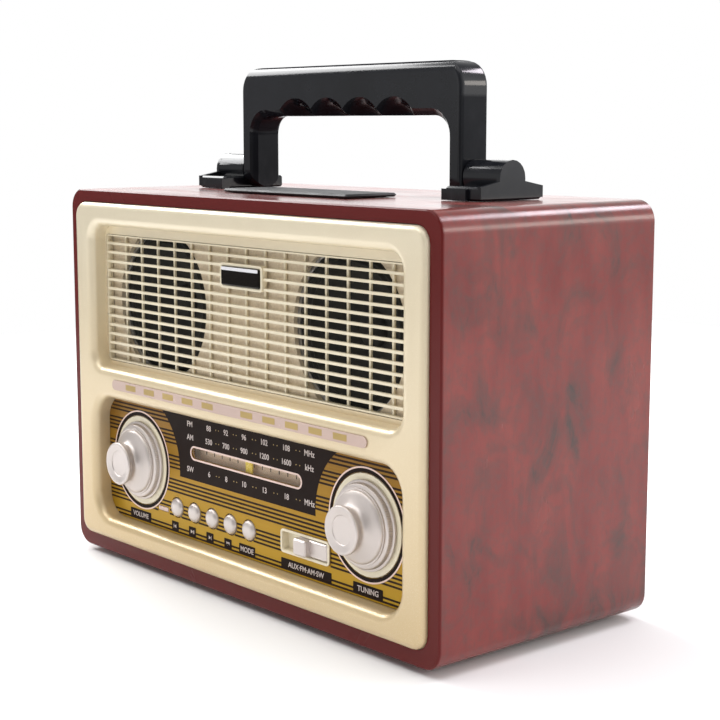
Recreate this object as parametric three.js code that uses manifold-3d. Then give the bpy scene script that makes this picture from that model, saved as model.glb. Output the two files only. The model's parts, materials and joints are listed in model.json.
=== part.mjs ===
// Tabletop radio: a wood-wrapped cabinet with a moulded front, two loudspeakers behind a bar
// grille, a recessed tuning dial with two knobs, five push buttons and a band switch, a folding
// carrying handle on top, and a rear cover with a battery bay and a telescopic aerial.
//
// Millimetres, +Z up, +X to the right as seen from the front, +Y towards the back.
// Shapes are laid out from the cabinet's front rim (y = 0) and its underside (z = 0). The whole
// group is then moved so that the origin is at the centre of the base, with the feet on z = 0.

import * as THREE from 'three';
import { mergeVertices } from 'three/addons/utils/BufferGeometryUtils.js';
import Module from 'manifold-3d';

const wasm = await Module();
wasm.setup();

// ---------------------------------------------------------------- driving dimensions

const GAP = 0.3;            // clearance between fixed neighbours
const RUNNING = 0.1;        // radial clearance of a turning or sliding fit

const CABINET = { width: 266, depth: 122.2, height: 178, corner: 9, ease: 0.6, wall: 9 };
const FOOT = { radius: 8, height: 3, peg: 2.4, x: 106, y: [18, 104] };

const PANEL = { halfWidth: 126.3, z: [7.2, 172], corner: 7, front: -2.6, back: 9.1, edge: 2.5 };
const LIP = 4;              // rounding of the mouth of both wells
const FLOOR = 6;            // depth of the floor of both wells behind the front rim
const GRILLE_WELL = { halfWidth: 112.5, z: [92.5, 161], corner: 7.5 };
const DIAL_WELL = { halfWidth: 112.3, z: [17.5, 77.5], corner: 12 };

const GRILLE = {
  halfWidth: 111, z: [94.95, 156.35], pitch: 4.42, rows: 14, bar: 1.2, border: 0.7,
};
const GRILLE_POST = { pitch: 13.87, count: 15, width: 1.25 };
const SPEAKER = { x: 67.9, z: 125.65, hole: 35.8 };
const BADGE = { halfWidth: 14, z: [139.2, 147.6], frame: 1.4 };
const STRIP = { halfWidth: 94, z: [82.95, 87.75] };

const KNOB = { x: 83.4, z: 48.7, ring: 21.45, radius: 18.9, bore: 3.1, shaft: 3 };
const WINDOW = { halfWidth: 40.8, z: [56.45, 61.65], corner: 2.55 };
const BUTTON = { x: -53.2, z: 30.7, pitch: 14.15, count: 5, radius: 4.6, front: 4.1 };
const SWITCH = { x: [27.4, 60.4], z: [26.4, 36.9], corner: 1.8 };
const LAMP = { x: [-69.2, -60.6], z: [26.8, 29.3] };

const DRUM = { radius: 13.4, y: [9, 11.4] };      // tuning drum; its top carries the dial cord
const PULLEY = { radius: 5, x: -60 };
const CORD = { radius: 0.35, y: 10.2 };

const HANDLE = {
  halfWidth: 77, arm: 9.5, y: [63, 79.5], top: 236, grip: 213, corner: 11, edge: 2.2, roll: 5.5,
};
const HAND_HOLE = { corner: 9, chamfer: 3 };      // the opening under the grip
const SCOOP = { count: 4, pitch: 23.1, radius: 15.8, top: 221.3, depth: 11 };
const PIVOT = { y: 71.25, z: 187.35, pin: 2, barrel: 7.45 };
const BRACKET = { x: [77.7, 99.5], y: [53, 89.3], height: 6, ear: 2, eave: 2 };
const TOP_PLATE = { halfWidth: 44.5, y: [28, 57], height: 2 };

const REAR = { y: [118.9, 121.9], screwX: 117.5, screwZ: [15.5, 162.5] };
const SCREW = { shank: 1.5, head: 3.6, seat: 120.5 };
const VENT = { width: 52, height: 5, pitch: 9.5, rows: 5, low: 88 };
const BATTERY_BAY = { halfWidth: 65, z: [15.3, 54.7], front: 79, wall: 2 };
const BAY_DOOR = { halfWidth: 63, z: [17.3, 52.7], y: [119.6, 121.9], grips: [44, 50] };
const CELL = { radius: 16.6, length: 61.2, cap: 4.7, y: 99.5 };
const INLET = { x: -95, z: 34, halfWidth: 11, halfHeight: 6.5 };
const AERIAL = { x: 100, z: 160, y: 128.5, outer: 3.3, inner: 2.3, length: 186, post: 4, pin: 1.4 };

const BASE_CENTRE_Y = 61.95; // halfway between the knob faces and the back of the aerial

// ---------------------------------------------------------------- shape helpers

function solid(geometry) {
  const bare = geometry.clone();
  for (const name of Object.keys(bare.attributes)) {
    if (name !== 'position') bare.deleteAttribute(name);
  }
  const merged = mergeVertices(bare, 1e-4);
  const index = merged.index.array;
  const triangles = [];
  for (let i = 0; i < index.length; i += 3) {
    const [a, b, c] = [index[i], index[i + 1], index[i + 2]];
    if (a !== b && b !== c && c !== a) triangles.push(a, b, c);
  }
  return new wasm.Manifold(new wasm.Mesh({
    numProp: 3,
    vertProperties: new Float32Array(merged.attributes.position.array),
    triVerts: new Uint32Array(triangles),
  }));
}

function joined(...parts) {
  return parts.reduce((whole, part) => whole.add(part));
}

function block([x0, x1], [y0, y1], [z0, z1]) {
  const box = new THREE.BoxGeometry(x1 - x0, y1 - y0, z1 - z0);
  return solid(box.translate((x0 + x1) / 2, (y0 + y1) / 2, (z0 + z1) / 2));
}

// A solid of revolution. The profile lists [radius, height] pairs and either starts and ends on
// the axis or is closed; height runs along the named axis from the given centre.
function turned(profile, segments, axis, [x, y, z]) {
  const points = profile.map(([r, h]) => new THREE.Vector2(r, h));
  const onAxis = profile[0][0] === 0 && profile[profile.length - 1][0] === 0;
  if (!onAxis) points.push(points[0].clone());
  const area = points.reduce((sum, p, i) => {
    const q = points[(i + 1) % points.length];
    return sum + p.x * q.y - q.x * p.y;
  }, 0);
  if (area < 0) points.reverse();
  const lathe = new THREE.LatheGeometry(points, segments);
  if (axis === 'x') lathe.rotateZ(-Math.PI / 2);
  if (axis === 'z') lathe.rotateX(Math.PI / 2);
  return solid(lathe.translate(x, y, z));
}

function rod(radius, [h0, h1], segments, axis, centre) {
  return turned([[0, h0], [radius, h0], [radius, h1], [0, h1]], segments, axis, centre);
}

function roundedRect(path, [x0, x1], [y0, y1], r) {
  if (r === 0) {
    path.moveTo(x0, y0);
    path.lineTo(x1, y0);
    path.lineTo(x1, y1);
    path.lineTo(x0, y1);
    path.lineTo(x0, y0);
    return path;
  }
  path.moveTo(x0 + r, y0);
  path.lineTo(x1 - r, y0);
  path.absarc(x1 - r, y0 + r, r, -Math.PI / 2, 0, false);
  path.lineTo(x1, y1 - r);
  path.absarc(x1 - r, y1 - r, r, 0, Math.PI / 2, false);
  path.lineTo(x0 + r, y1);
  path.absarc(x0 + r, y1 - r, r, Math.PI / 2, Math.PI, false);
  path.lineTo(x0, y0 + r);
  path.absarc(x0 + r, y0 + r, r, Math.PI, 1.5 * Math.PI, false);
  return path;
}

function rectShape(xs, ys, r) {
  return roundedRect(new THREE.Shape(), xs, ys, r);
}

function rectHole(xs, ys, r) {
  return roundedRect(new THREE.Path(), xs, ys, r);
}

function roundHole(x, y, r, sides) {
  const corners = Array.from({ length: sides }, (_, i) => {
    const angle = (2 * Math.PI * i) / sides;
    return new THREE.Vector2(x + r * Math.cos(angle), y + r * Math.sin(angle));
  });
  return new THREE.Path(corners);
}

function withHoles(shape, ...holes) {
  shape.holes.push(...holes);
  return shape;
}

// Extrudes an outline drawn in X and Z from y0 to y1. A round eases the front and back edges,
// and the edges of the holes, inside the nominal outline.
function plate(shape, [y0, y1], { round = 0, steps = 2, curve = 2 } = {}) {
  const geometry = new THREE.ExtrudeGeometry(shape, {
    depth: y1 - y0 - 2 * round,
    bevelEnabled: round > 0,
    bevelThickness: round,
    bevelSize: round,
    bevelOffset: -round,
    bevelSegments: steps,
    curveSegments: curve,
  });
  return solid(geometry.rotateX(Math.PI / 2).translate(0, y1 - round, 0));
}

// Extrudes an outline drawn in Y and Z along X.
function profileAlongX(shape, [x0, x1], { round = 0, steps = 1, curve = 4 } = {}) {
  const geometry = new THREE.ExtrudeGeometry(shape, {
    depth: x1 - x0 - 2 * round,
    bevelEnabled: round > 0,
    bevelThickness: round,
    bevelSize: round,
    bevelOffset: -round,
    bevelSegments: steps,
    curveSegments: curve,
  });
  const turn = new THREE.Matrix4().makeBasis(
    new THREE.Vector3(0, 1, 0),
    new THREE.Vector3(0, 0, 1),
    new THREE.Vector3(1, 0, 0),
  );
  return solid(geometry.applyMatrix4(turn).translate(x0 + round, 0, 0));
}

// Extrudes an outline drawn in X and Y upwards.
function slab(shape, [z0, z1], { round = 0, steps = 1, curve = 2 } = {}) {
  const geometry = new THREE.ExtrudeGeometry(shape, {
    depth: z1 - z0 - 2 * round,
    bevelEnabled: round > 0,
    bevelThickness: round,
    bevelSize: round,
    bevelOffset: -round,
    bevelSegments: steps,
    curveSegments: curve,
  });
  return solid(geometry.translate(0, 0, z0 + round));
}

// ---------------------------------------------------------------- materials

function finish(color, roughness, metalness = 0, opacity = 1) {
  return new THREE.MeshStandardMaterial({
    color, roughness, metalness, opacity, transparent: opacity < 1,
  });
}

const WOOD = finish(0x6b3436, 0.35);
const CHAMPAGNE = finish(0xe3d2a6, 0.35);
const CREAM = finish(0xe8dcc0, 0.4);
const BEIGE = finish(0xbfb098, 0.7);
const BLACK_GLOSS = finish(0x111214, 0.18);
const BLACK_MATT = finish(0x18181a, 0.6);
const PAPER = finish(0x1c1a18, 0.85);
const DIAL_GOLD = finish(0xb98f2c, 0.3, 0.6);
const CLEAR = finish(0xe8d8d0, 0.08, 0, 0.35);
const POINTER_YELLOW = finish(0xe0c41c, 0.4);
const CHROME = finish(0xe6e2e2, 0.12, 1);
const STEEL = finish(0xb9b9bb, 0.35, 1);
const BOARD_GREEN = finish(0x1f5b36, 0.5);
const FERRITE = finish(0x3a3a3c, 0.6);
const WHITE_CORD = finish(0xe8e4da, 0.8);
const RUBBER = finish(0x161616, 0.9);
const CELL_JACKET = finish(0x2f4f7a, 0.4);
const ROSE_PRINT = finish(0xe2c4b8, 0.3);

// ---------------------------------------------------------------- assembly

const radio = new THREE.Group();
radio.position.set(0, -BASE_CENTRE_Y, FOOT.height);

function add(name, material, shape, offset = [0, 0, 0]) {
  const mesh = shape.getMesh();
  const geometry = new THREE.BufferGeometry();
  geometry.setAttribute('position', new THREE.BufferAttribute(mesh.vertProperties.slice(), 3));
  geometry.setIndex(new THREE.BufferAttribute(mesh.triVerts.slice(), 1));
  geometry.computeVertexNormals();
  const node = new THREE.Mesh(geometry, material);
  node.name = name;
  node.position.set(...offset);
  radio.add(node);
}

const SIDES = [['left', -1], ['right', 1]];

// ---------------------------------------------------------------- cabinet and feet

function cabinetShell() {
  const half = CABINET.width / 2;
  const outer = plate(rectShape([-half, half], [0, CABINET.height], CABINET.corner),
    [0, CABINET.depth], { round: CABINET.ease, steps: 1, curve: 5 });
  const innerHalf = half - CABINET.wall;
  const innerZ = [CABINET.wall, CABINET.height - CABINET.wall];
  const bore = plate(rectShape([-innerHalf, innerHalf], innerZ, 3), [-5, CABINET.depth + 5]);
  const rabbetHalf = PANEL.halfWidth + GAP;
  const rabbetZ = [PANEL.z[0] - GAP, PANEL.z[1] + GAP];
  const rabbet = rectShape([-rabbetHalf, rabbetHalf], rabbetZ, PANEL.corner + GAP);
  let shell = outer.subtract(bore);
  shell = shell.subtract(plate(rabbet, [-5, PANEL.back + GAP]));
  shell = shell.subtract(plate(rabbet, [REAR.y[0] - GAP, CABINET.depth + 5]));
  for (const side of [-1, 1]) {
    for (const z of REAR.screwZ) {
      const x = side * REAR.screwX;
      const top = z > CABINET.height / 2;
      const inner = [Math.min(x - side * 6, side * (innerHalf + 1)),
        Math.max(x - side * 6, side * (innerHalf + 1))];
      const upright = top ? [z - 6, innerZ[1] + 1] : [innerZ[0] - 1, z + 6];
      const batten = block(inner, [96, REAR.y[0] - GAP], upright);
      shell = shell.add(batten).subtract(rod(1.7, [100, 130], 10, 'y', [x, 0, z]));
    }
    for (const y of FOOT.y) {
      shell = shell.subtract(rod(FOOT.peg + GAP, [-5, 5], 10, 'z', [side * FOOT.x, y, 0]));
    }
  }
  return shell;
}

function foot() {
  const r = FOOT.radius;
  return turned([
    [0, -FOOT.height], [r - 1, -FOOT.height], [r, -FOOT.height + 1], [r, -GAP],
    [FOOT.peg, -GAP], [FOOT.peg, 4], [0, 4],
  ], 16, 'z', [0, 0, 0]);
}

add('cabinet_shell', WOOD, cabinetShell());
for (const [side, sign] of SIDES) {
  add(`foot_front_${side}`, RUBBER, foot(), [sign * FOOT.x, FOOT.y[0], 0]);
  add(`foot_rear_${side}`, RUBBER, foot(), [sign * FOOT.x, FOOT.y[1], 0]);
}

// ---------------------------------------------------------------- front moulding

function wellOutline(well, make) {
  return make([-well.halfWidth, well.halfWidth], well.z, well.corner);
}

function frontPanel() {
  const half = PANEL.halfWidth;
  const outer = plate(rectShape([-half, half], PANEL.z, PANEL.corner),
    [PANEL.front, PANEL.back + PANEL.edge], { round: PANEL.edge, steps: 3, curve: 3 });
  const mouths = withHoles(rectShape([-200, 200], [-50, 250], 20),
    wellOutline(GRILLE_WELL, rectHole), wellOutline(DIAL_WELL, rectHole));
  const lips = plate(mouths, [PANEL.front, PANEL.back + 3 * LIP],
    { round: LIP, steps: 4, curve: 4 });
  const behind = block([-200, 200], [PANEL.back, 60], [-50, 250]);
  const shape = outer.intersect(lips).subtract(behind);
  const openX = GRILLE.halfWidth + GAP;
  const grilleFloor = withHoles(
    rectShape([-GRILLE_WELL.halfWidth - 1, GRILLE_WELL.halfWidth + 1],
      [GRILLE_WELL.z[0] - 1, GRILLE_WELL.z[1] + 1], 8),
    rectHole([-openX, openX], [GRILLE.z[0] - GAP, GRILLE.z[1] + GAP], 2 + GAP));
  const ledgeX = DIAL_WELL.halfWidth - 4;
  const dialLedge = withHoles(
    rectShape([-DIAL_WELL.halfWidth - 1, DIAL_WELL.halfWidth + 1],
      [DIAL_WELL.z[0] - 1, DIAL_WELL.z[1] + 1], 11),
    rectHole([-ledgeX, ledgeX], [DIAL_WELL.z[0] + 4, DIAL_WELL.z[1] - 4], 8));
  return joined(shape, plate(grilleFloor, [FLOOR, FLOOR + 1.5]),
    plate(dialLedge, [FLOOR + 1.8, PANEL.back]));
}

function evenSlots(count, pitch, bar, middle, [low, high]) {
  return Array.from({ length: count }, (_, i) => {
    const centre = middle + (i - (count - 1) / 2) * pitch;
    return [Math.max(centre - (pitch - bar) / 2, low), Math.min(centre + (pitch - bar) / 2, high)];
  });
}

// The front layer: level louvre bars in a thin border, with a seat and a raised surround for
// the badge.
function speakerGrille() {
  const { halfWidth, z, pitch, rows, bar } = GRILLE;
  const inside = [z[0] + GRILLE.border, z[1] - GRILLE.border];
  const x = [-halfWidth + GRILLE.border, halfWidth - GRILLE.border];
  const slots = evenSlots(rows, pitch, bar, (z[0] + z[1]) / 2, inside);
  const face = slots.reduce((body, slot) => body.subtract(block(x, [0, 20], slot)),
    plate(rectShape([-halfWidth, halfWidth], z, 2), [FLOOR + 0.1, FLOOR + 1.7]));
  const { halfWidth: badgeHalf, z: badgeZ, frame } = BADGE;
  const seat = block([-badgeHalf - GAP, badgeHalf + GAP], [FLOOR + 0.1, FLOOR + 1.7], badgeZ);
  const border = rectShape([-badgeHalf - frame, badgeHalf + frame],
    [badgeZ[0] - frame, badgeZ[1] + frame], 1.2);
  const opening = rectHole([-badgeHalf - GAP, badgeHalf + GAP],
    [badgeZ[0] - GAP, badgeZ[1] + GAP], 0.8);
  const surround = plate(withHoles(border, opening), [FLOOR - 0.7, FLOOR + 1.7], { curve: 1 });
  return joined(face, seat, surround);
}

// The rear layer: upright posts in a wider frame that sits behind the well's floor.
function grilleLattice() {
  const { halfWidth, z, border } = GRILLE;
  const { pitch, count, width } = GRILLE_POST;
  const inside = [z[0] + border, z[1] - border];
  const slots = evenSlots(count + 1, pitch, width, 0, [-halfWidth + border, halfWidth - border]);
  const x = GRILLE_WELL.halfWidth - GAP;
  const frame = rectShape([-x, x], [GRILLE_WELL.z[0] + GAP, GRILLE_WELL.z[1] - GAP], 7);
  return slots.reduce((body, slot) => body.subtract(block(slot, [0, 20], inside)),
    plate(frame, [FLOOR + 2, PANEL.back - 0.2]));
}

function badge() {
  const { halfWidth, z } = BADGE;
  return plate(rectShape([-halfWidth, halfWidth], z, 0.8), [FLOOR - 1.4, FLOOR - 0.2],
    { round: 0.4, steps: 1, curve: 1 });
}

function labelStrip() {
  const radius = (STRIP.z[1] - STRIP.z[0]) / 2 - 0.01;
  return plate(rectShape([-STRIP.halfWidth, STRIP.halfWidth], STRIP.z, radius),
    [PANEL.front - 0.55, PANEL.front - 0.25], { curve: 4 });
}

add('front_panel', CHAMPAGNE, frontPanel());
add('speaker_grille', CREAM, speakerGrille());
add('grille_lattice', CREAM, grilleLattice());
add('grille_badge', BLACK_GLOSS, badge());
add('label_strip', ROSE_PRINT, labelStrip());

// ---------------------------------------------------------------- loudspeakers

const BAFFLE = { y: [9.4, 11.4], halfWidth: 117, z: [83.5, 166.5] };

function speakerBaffle() {
  const board = rectShape([-BAFFLE.halfWidth, BAFFLE.halfWidth], BAFFLE.z, 0);
  const holes = SIDES.map(([, sign]) => roundHole(sign * SPEAKER.x, SPEAKER.z, SPEAKER.hole, 48));
  return plate(withHoles(board, ...holes), BAFFLE.y);
}

function speakerBasket() {
  return turned([
    [0, 43], [22.5, 43], [22.5, 31], [18.5, 31], [36.3, 14.8], [40, 12.9], [40, 11.7],
    [34.6, 11.7], [34.6, 14.3], [16.5, 28.9], [0, 28.9],
  ], 20, 'y', [0, 0, 0]);
}

function speakerCone() {
  return turned([
    [0, 20.3], [5, 21.2], [8, 23.6], [27.6, 14.4], [30.2, 12.2], [34.2, 13], [34.2, 13.8],
    [28.4, 15.4], [8.2, 24.9], [8.2, 27.6], [0, 27.6],
  ], 20, 'y', [0, 0, 0]);
}

add('speaker_baffle', BEIGE, speakerBaffle());
for (const [side, sign] of SIDES) {
  const centre = [sign * SPEAKER.x, 0, SPEAKER.z];
  add(`${side}_speaker_basket`, STEEL, speakerBasket(), centre);
  add(`${side}_speaker_cone`, PAPER, speakerCone(), centre);
}

// ---------------------------------------------------------------- dial and its drive

const buttonCentres = Array.from({ length: BUTTON.count }, (_, i) => BUTTON.x + i * BUTTON.pitch);

function dialPlate() {
  const half = DIAL_WELL.halfWidth - GAP;
  const holes = [
    roundHole(-KNOB.x, KNOB.z, KNOB.ring + GAP, 36),
    roundHole(KNOB.x, KNOB.z, KNOB.ring + GAP, 36),
    rectHole([-WINDOW.halfWidth, WINDOW.halfWidth], WINDOW.z, WINDOW.corner),
    rectHole([SWITCH.x[0] + 0.5, SWITCH.x[1] - 0.5], [SWITCH.z[0] + 0.5, SWITCH.z[1] - 0.5], 1.3),
    rectHole(LAMP.x, LAMP.z, 0.6),
    ...buttonCentres.map((x) => roundHole(x, BUTTON.z, BUTTON.radius + 0.5, 14)),
  ];
  return plate(withHoles(
    rectShape([-half, half], [DIAL_WELL.z[0] + GAP, DIAL_WELL.z[1] - GAP], DIAL_WELL.corner - GAP),
    ...holes), [FLOOR, FLOOR + 1.5], { curve: 3 });
}

function dialWindow() {
  const { halfWidth, z, corner } = WINDOW;
  const lens = plate(rectShape([-halfWidth + GAP, halfWidth - GAP],
    [z[0] + GAP, z[1] - GAP], corner - GAP), [FLOOR + 0.4, FLOOR + 2], { curve: 3 });
  const flange = block([-halfWidth - 1, halfWidth + 1], [FLOOR + 1.8, FLOOR + 2.4],
    [z[0] - 1, z[1] + 1]);
  return lens.add(flange);
}

function powerLamp() {
  const [x0, x1] = LAMP.x;
  const [z0, z1] = LAMP.z;
  const lens = plate(rectShape([x0 + GAP, x1 - GAP], [z0 + GAP, z1 - GAP], 0.4),
    [FLOOR - 0.1, FLOOR + 2], { curve: 1 });
  return lens.add(block([x0 - 0.4, x1 + 0.8], [FLOOR + 1.8, FLOOR + 2.6], [z0 - 0.8, z1]));
}

const BACKING = { halfWidth: 46, y: [11.7, 12.9], z: [53.5, 66.5], lugX: 45.4, lug: 1.6, lugLow: 64.2 };
const NEEDLE = { halfWidth: 2.5, y: [8.7, 9.4], z: [55.9, 63.6] };
const CARRIAGE = { y: [9.2, 11.2], low: 60.4, clip: 0.65 };

// The plate behind the dial window; it stands on its end lugs behind the dial plate.
function scaleBacking() {
  const { halfWidth, y, z, lugX, lug, lugLow } = BACKING;
  const back = block([-halfWidth, halfWidth], y, z);
  const lugs = SIDES.map(([, sign]) => {
    const x = sign * lugX;
    return block([x - lug, x + lug], [FLOOR + 1.8, y[1]], [lugLow, z[1]]);
  });
  return joined(back, ...lugs);
}

// The needle hangs in front of its carriage, which is clipped over the upper run of the cord.
function dialPointer() {
  const cordTop = KNOB.z + DRUM.radius;
  const x = [-NEEDLE.halfWidth, NEEDLE.halfWidth];
  const needle = block(x, NEEDLE.y, NEEDLE.z);
  const carriage = block(x, CARRIAGE.y, [CARRIAGE.low, NEEDLE.z[1]]);
  const slot = block([x[0] - 1, x[1] + 1], [CORD.y - CARRIAGE.clip, CORD.y + CARRIAGE.clip],
    [cordTop - CARRIAGE.clip, NEEDLE.z[1] + 1]);
  return needle.add(carriage).subtract(slot);
}

// An open loop of cord round the drum and the idler pulley; its two ends meet the tension
// spring's slot at the right of the drum.
function dialCord() {
  const drum = new THREE.Vector2(KNOB.x, KNOB.z);
  const big = DRUM.radius;
  const small = PULLEY.radius;
  const pulley = new THREE.Vector2(PULLEY.x, KNOB.z + big - small);
  const direction = pulley.clone().sub(drum);
  const lean = Math.atan2(direction.y, direction.x);
  const spread = Math.acos((big - small) / direction.length());
  const lower = lean + spread;
  const points = [];
  const arc = (centre, radius, from, to, count) => {
    for (let i = 0; i <= count; i += 1) {
      const a = from + (to - from) * (i / count);
      points.push(new THREE.Vector3(centre.x + radius * Math.cos(a), CORD.y,
        centre.y + radius * Math.sin(a)));
    }
  };
  arc(drum, big, 0.06, Math.PI / 2, 8);
  arc(pulley, small, Math.PI / 2, lower, 8);
  arc(drum, big, lower, 2 * Math.PI - 0.06, 8);
  const path = new THREE.CurvePath();
  for (let i = 0; i + 1 < points.length; i += 1) {
    path.add(new THREE.LineCurve3(points[i], points[i + 1]));
  }
  const section = new THREE.Shape();
  section.absarc(0, 0, CORD.radius, 0, 2 * Math.PI, false);
  const steps = points.length - 1;
  const route = new THREE.Curve();
  route.getPoint = (t) => {
    const at = Math.min(Math.round(t * steps), steps);
    return points[at].clone();
  };
  route.getPointAt = route.getPoint;
  route.getTangentAt = (t) => {
    const at = Math.min(Math.round(t * steps), steps);
    const before = points[Math.max(at - 1, 0)];
    const after = points[Math.min(at + 1, steps)];
    return after.clone().sub(before).normalize();
  };
  const tube = new THREE.ExtrudeGeometry(section, { steps, extrudePath: route, curveSegments: 3 });
  return solid(tube);
}

function knob() {
  return turned([
    [0, -1.6], [KNOB.bore, -1.6], [KNOB.bore, 5.5], [KNOB.radius, 5.5], [KNOB.radius, 4.7],
    [17.9, 4.4], [17.5, 2.8], [16.1, 2.2], [15, 0.8], [12.9, -0.1], [10.4, -1.6], [8.7, -3.4],
    [8.7, -5], [10.2, -6.3], [10.2, -7.2], [9.1, -7.9], [6.6, -7.1], [0, -6.7],
  ], 30, 'y', [0, 0, 0]);
}

function knobRing() {
  return turned([
    [5, FLOOR - 0.1], [KNOB.ring, FLOOR - 0.1], [KNOB.ring, FLOOR + 1.8], [22.8, FLOOR + 1.8],
    [22.8, FLOOR + 2.5], [5, FLOOR + 2.5],
  ], 36, 'y', [0, 0, 0]);
}

function volumeControl() {
  return turned([
    [KNOB.shaft + RUNNING, 9.2], [5, 9.2], [5, 10.4], [11, 10.4], [11, 18],
    [KNOB.shaft + RUNNING, 18],
  ], 20, 'y', [0, 0, 0]);
}

function tuningCapacitor() {
  const can = block([-12, 12], [12.4, 26], [-12, 12]);
  return can.subtract(rod(KNOB.shaft + RUNNING, [5, 30], 20, 'y', [0, 0, 0]));
}

function tuningDrum() {
  const r = DRUM.radius;
  const [y0, y1] = DRUM.y;
  return turned([
    [0, -1.3], [KNOB.shaft, -1.3], [KNOB.shaft, y0], [r + 1, y0], [r + 1, y0 + 0.3],
    [r - CORD.radius - 0.15, CORD.y - 0.5], [r - CORD.radius - 0.15, CORD.y + 0.5],
    [r + 1, y1 - 0.3], [r + 1, y1], [KNOB.shaft, y1], [KNOB.shaft, 27], [0, 27],
  ], 20, 'y', [0, 0, 0]);
}

function volumeShaft() {
  return rod(KNOB.shaft, [-1.3, 19], 20, 'y', [0, 0, 0]);
}

function idlerPulley() {
  const r = PULLEY.radius;
  const [y0, y1] = DRUM.y;
  return turned([
    [0, y0], [r + 1, y0], [r + 1, y0 + 0.3], [r - CORD.radius - 0.15, CORD.y - 0.5],
    [r - CORD.radius - 0.15, CORD.y + 0.5], [r + 1, y1 - 0.3], [r + 1, y1], [1.4, y1],
    [1.4, 15.6], [0, 15.6],
  ], 16, 'y', [0, 0, 0]);
}

add('dial_plate', DIAL_GOLD, dialPlate());
add('dial_window', CLEAR, dialWindow());
add('power_lamp', ROSE_PRINT, powerLamp());
add('scale_backing', CREAM, scaleBacking());
add('dial_pointer', POINTER_YELLOW, dialPointer());
add('dial_cord', WHITE_CORD, dialCord());
add('idler_pulley', CREAM, idlerPulley(), [PULLEY.x, 0, KNOB.z + DRUM.radius - PULLEY.radius]);
add('volume_knob', CHROME, knob(), [-KNOB.x, 0, KNOB.z]);
add('volume_knob_ring', CREAM, knobRing(), [-KNOB.x, 0, KNOB.z]);
add('volume_shaft', STEEL, volumeShaft(), [-KNOB.x, 0, KNOB.z]);
add('volume_control', STEEL, volumeControl(), [-KNOB.x, 0, KNOB.z]);
add('tuning_knob', CHROME, knob(), [KNOB.x, 0, KNOB.z]);
add('tuning_knob_ring', CREAM, knobRing(), [KNOB.x, 0, KNOB.z]);
add('tuning_drum', CREAM, tuningDrum(), [KNOB.x, 0, KNOB.z]);
add('tuning_capacitor', STEEL, tuningCapacitor(), [KNOB.x, 0, KNOB.z]);

// ---------------------------------------------------------------- buttons and band switch

function button() {
  const r = BUTTON.radius;
  const f = BUTTON.front;
  return turned([
    [0, f], [2.4, f + 0.2], [3.9, f + 0.85], [r, f + 1.9], [r, 7.9], [r + 0.8, 7.9],
    [r + 0.8, 8.7], [1.6, 8.7], [1.6, 9.6], [0, 9.6],
  ], 18, 'y', [0, 0, 0]);
}

// The push-button board with one dome-switch block behind each button.
function buttonBoard() {
  const board = block([-66, 12], [13, 14.4], [22.5, 39]);
  const domes = buttonCentres.map((x) => block([x - 3, x + 3], [10.8, 13.2],
    [BUTTON.z - 3, BUTTON.z + 3]));
  return joined(board, ...domes);
}

const SLIDER = {
  x: [39.5, 59.1], z: [27.9, 35.4], y: [4.9, 8], ridge: [39.5, 47.9], ridgeFront: 2.1,
  stemX: [48, 51], stemZ: [30.6, 32.8], stemBack: 12,
};
const SWITCH_CAN = { x: [33, 56.4], y: [10.2, 17], z: [26.8, 36.6] };

function bandSwitchBezel() {
  const { x, z, corner } = SWITCH;
  const rim = plate(withHoles(rectShape(x, z, corner),
    rectHole([x[0] + 1, x[1] - 1], [z[0] + 1, z[1] - 1], 1)), [FLOOR - 0.9, FLOOR - 0.3]);
  const tray = plate(withHoles(
    rectShape([x[0] + 0.8, x[1] - 0.8], [z[0] + 0.8, z[1] - 0.8], 1.1),
    rectHole([x[0] + 1.2, x[1] - 1.2], [z[0] + 1.2, z[1] - 1.2], 0.8)), [FLOOR - 0.5, 9.6]);
  const floor = plate(withHoles(
    rectShape([x[0] + 0.8, x[1] - 0.8], [z[0] + 0.8, z[1] - 0.8], 1.1),
    rectHole([x[0] + 6, x[1] - 5.4], [SLIDER.stemZ[0] - 0.6, SLIDER.stemZ[1] + 0.6], 0.5)),
  [8.6, 9.6]);
  return joined(rim, tray, floor);
}

function bandSwitchCap() {
  const [x0, x1] = SLIDER.x;
  const base = plate(rectShape([x0, x1], SLIDER.z, 1), SLIDER.y, { round: 0.6, steps: 1, curve: 1 });
  const ridge = plate(rectShape(SLIDER.ridge, [SLIDER.z[0] + 0.2, SLIDER.z[1] - 0.2], 0.9),
    [SLIDER.ridgeFront, SLIDER.y[0] + 1.6], { round: 0.6, steps: 1, curve: 1 });
  const stem = block(SLIDER.stemX, [SLIDER.y[1] - 0.5, SLIDER.stemBack], SLIDER.stemZ);
  return joined(base, ridge, stem);
}

function bandSwitchBody() {
  const { x, y, z } = SWITCH_CAN;
  const channel = block([x[0] + 3.4, x[1] - 3], [y[0] - 1, SLIDER.stemBack + 1.2],
    [SLIDER.stemZ[0] - 0.5, SLIDER.stemZ[1] + 0.5]);
  return block(x, y, z).subtract(channel);
}

buttonCentres.forEach((x, i) => add(`button_${i + 1}`, CHROME, button(), [x, 0, BUTTON.z]));
add('button_board', BOARD_GREEN, buttonBoard());
add('band_switch_bezel', CREAM, bandSwitchBezel());
add('band_switch_cap', CHROME, bandSwitchCap());
add('band_switch_body', STEEL, bandSwitchBody());

// ---------------------------------------------------------------- electronics

const BOARD = { x: [-70, 62], y: [38, 39.6], z: [13, 82] };
const ROD_AERIAL = { radius: 5, y: 38.8, z: 90, half: 62, clip: 40 };
const TRANSFORMER = { x: [-112, -68], y: [58, 76], top: 46 };

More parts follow.
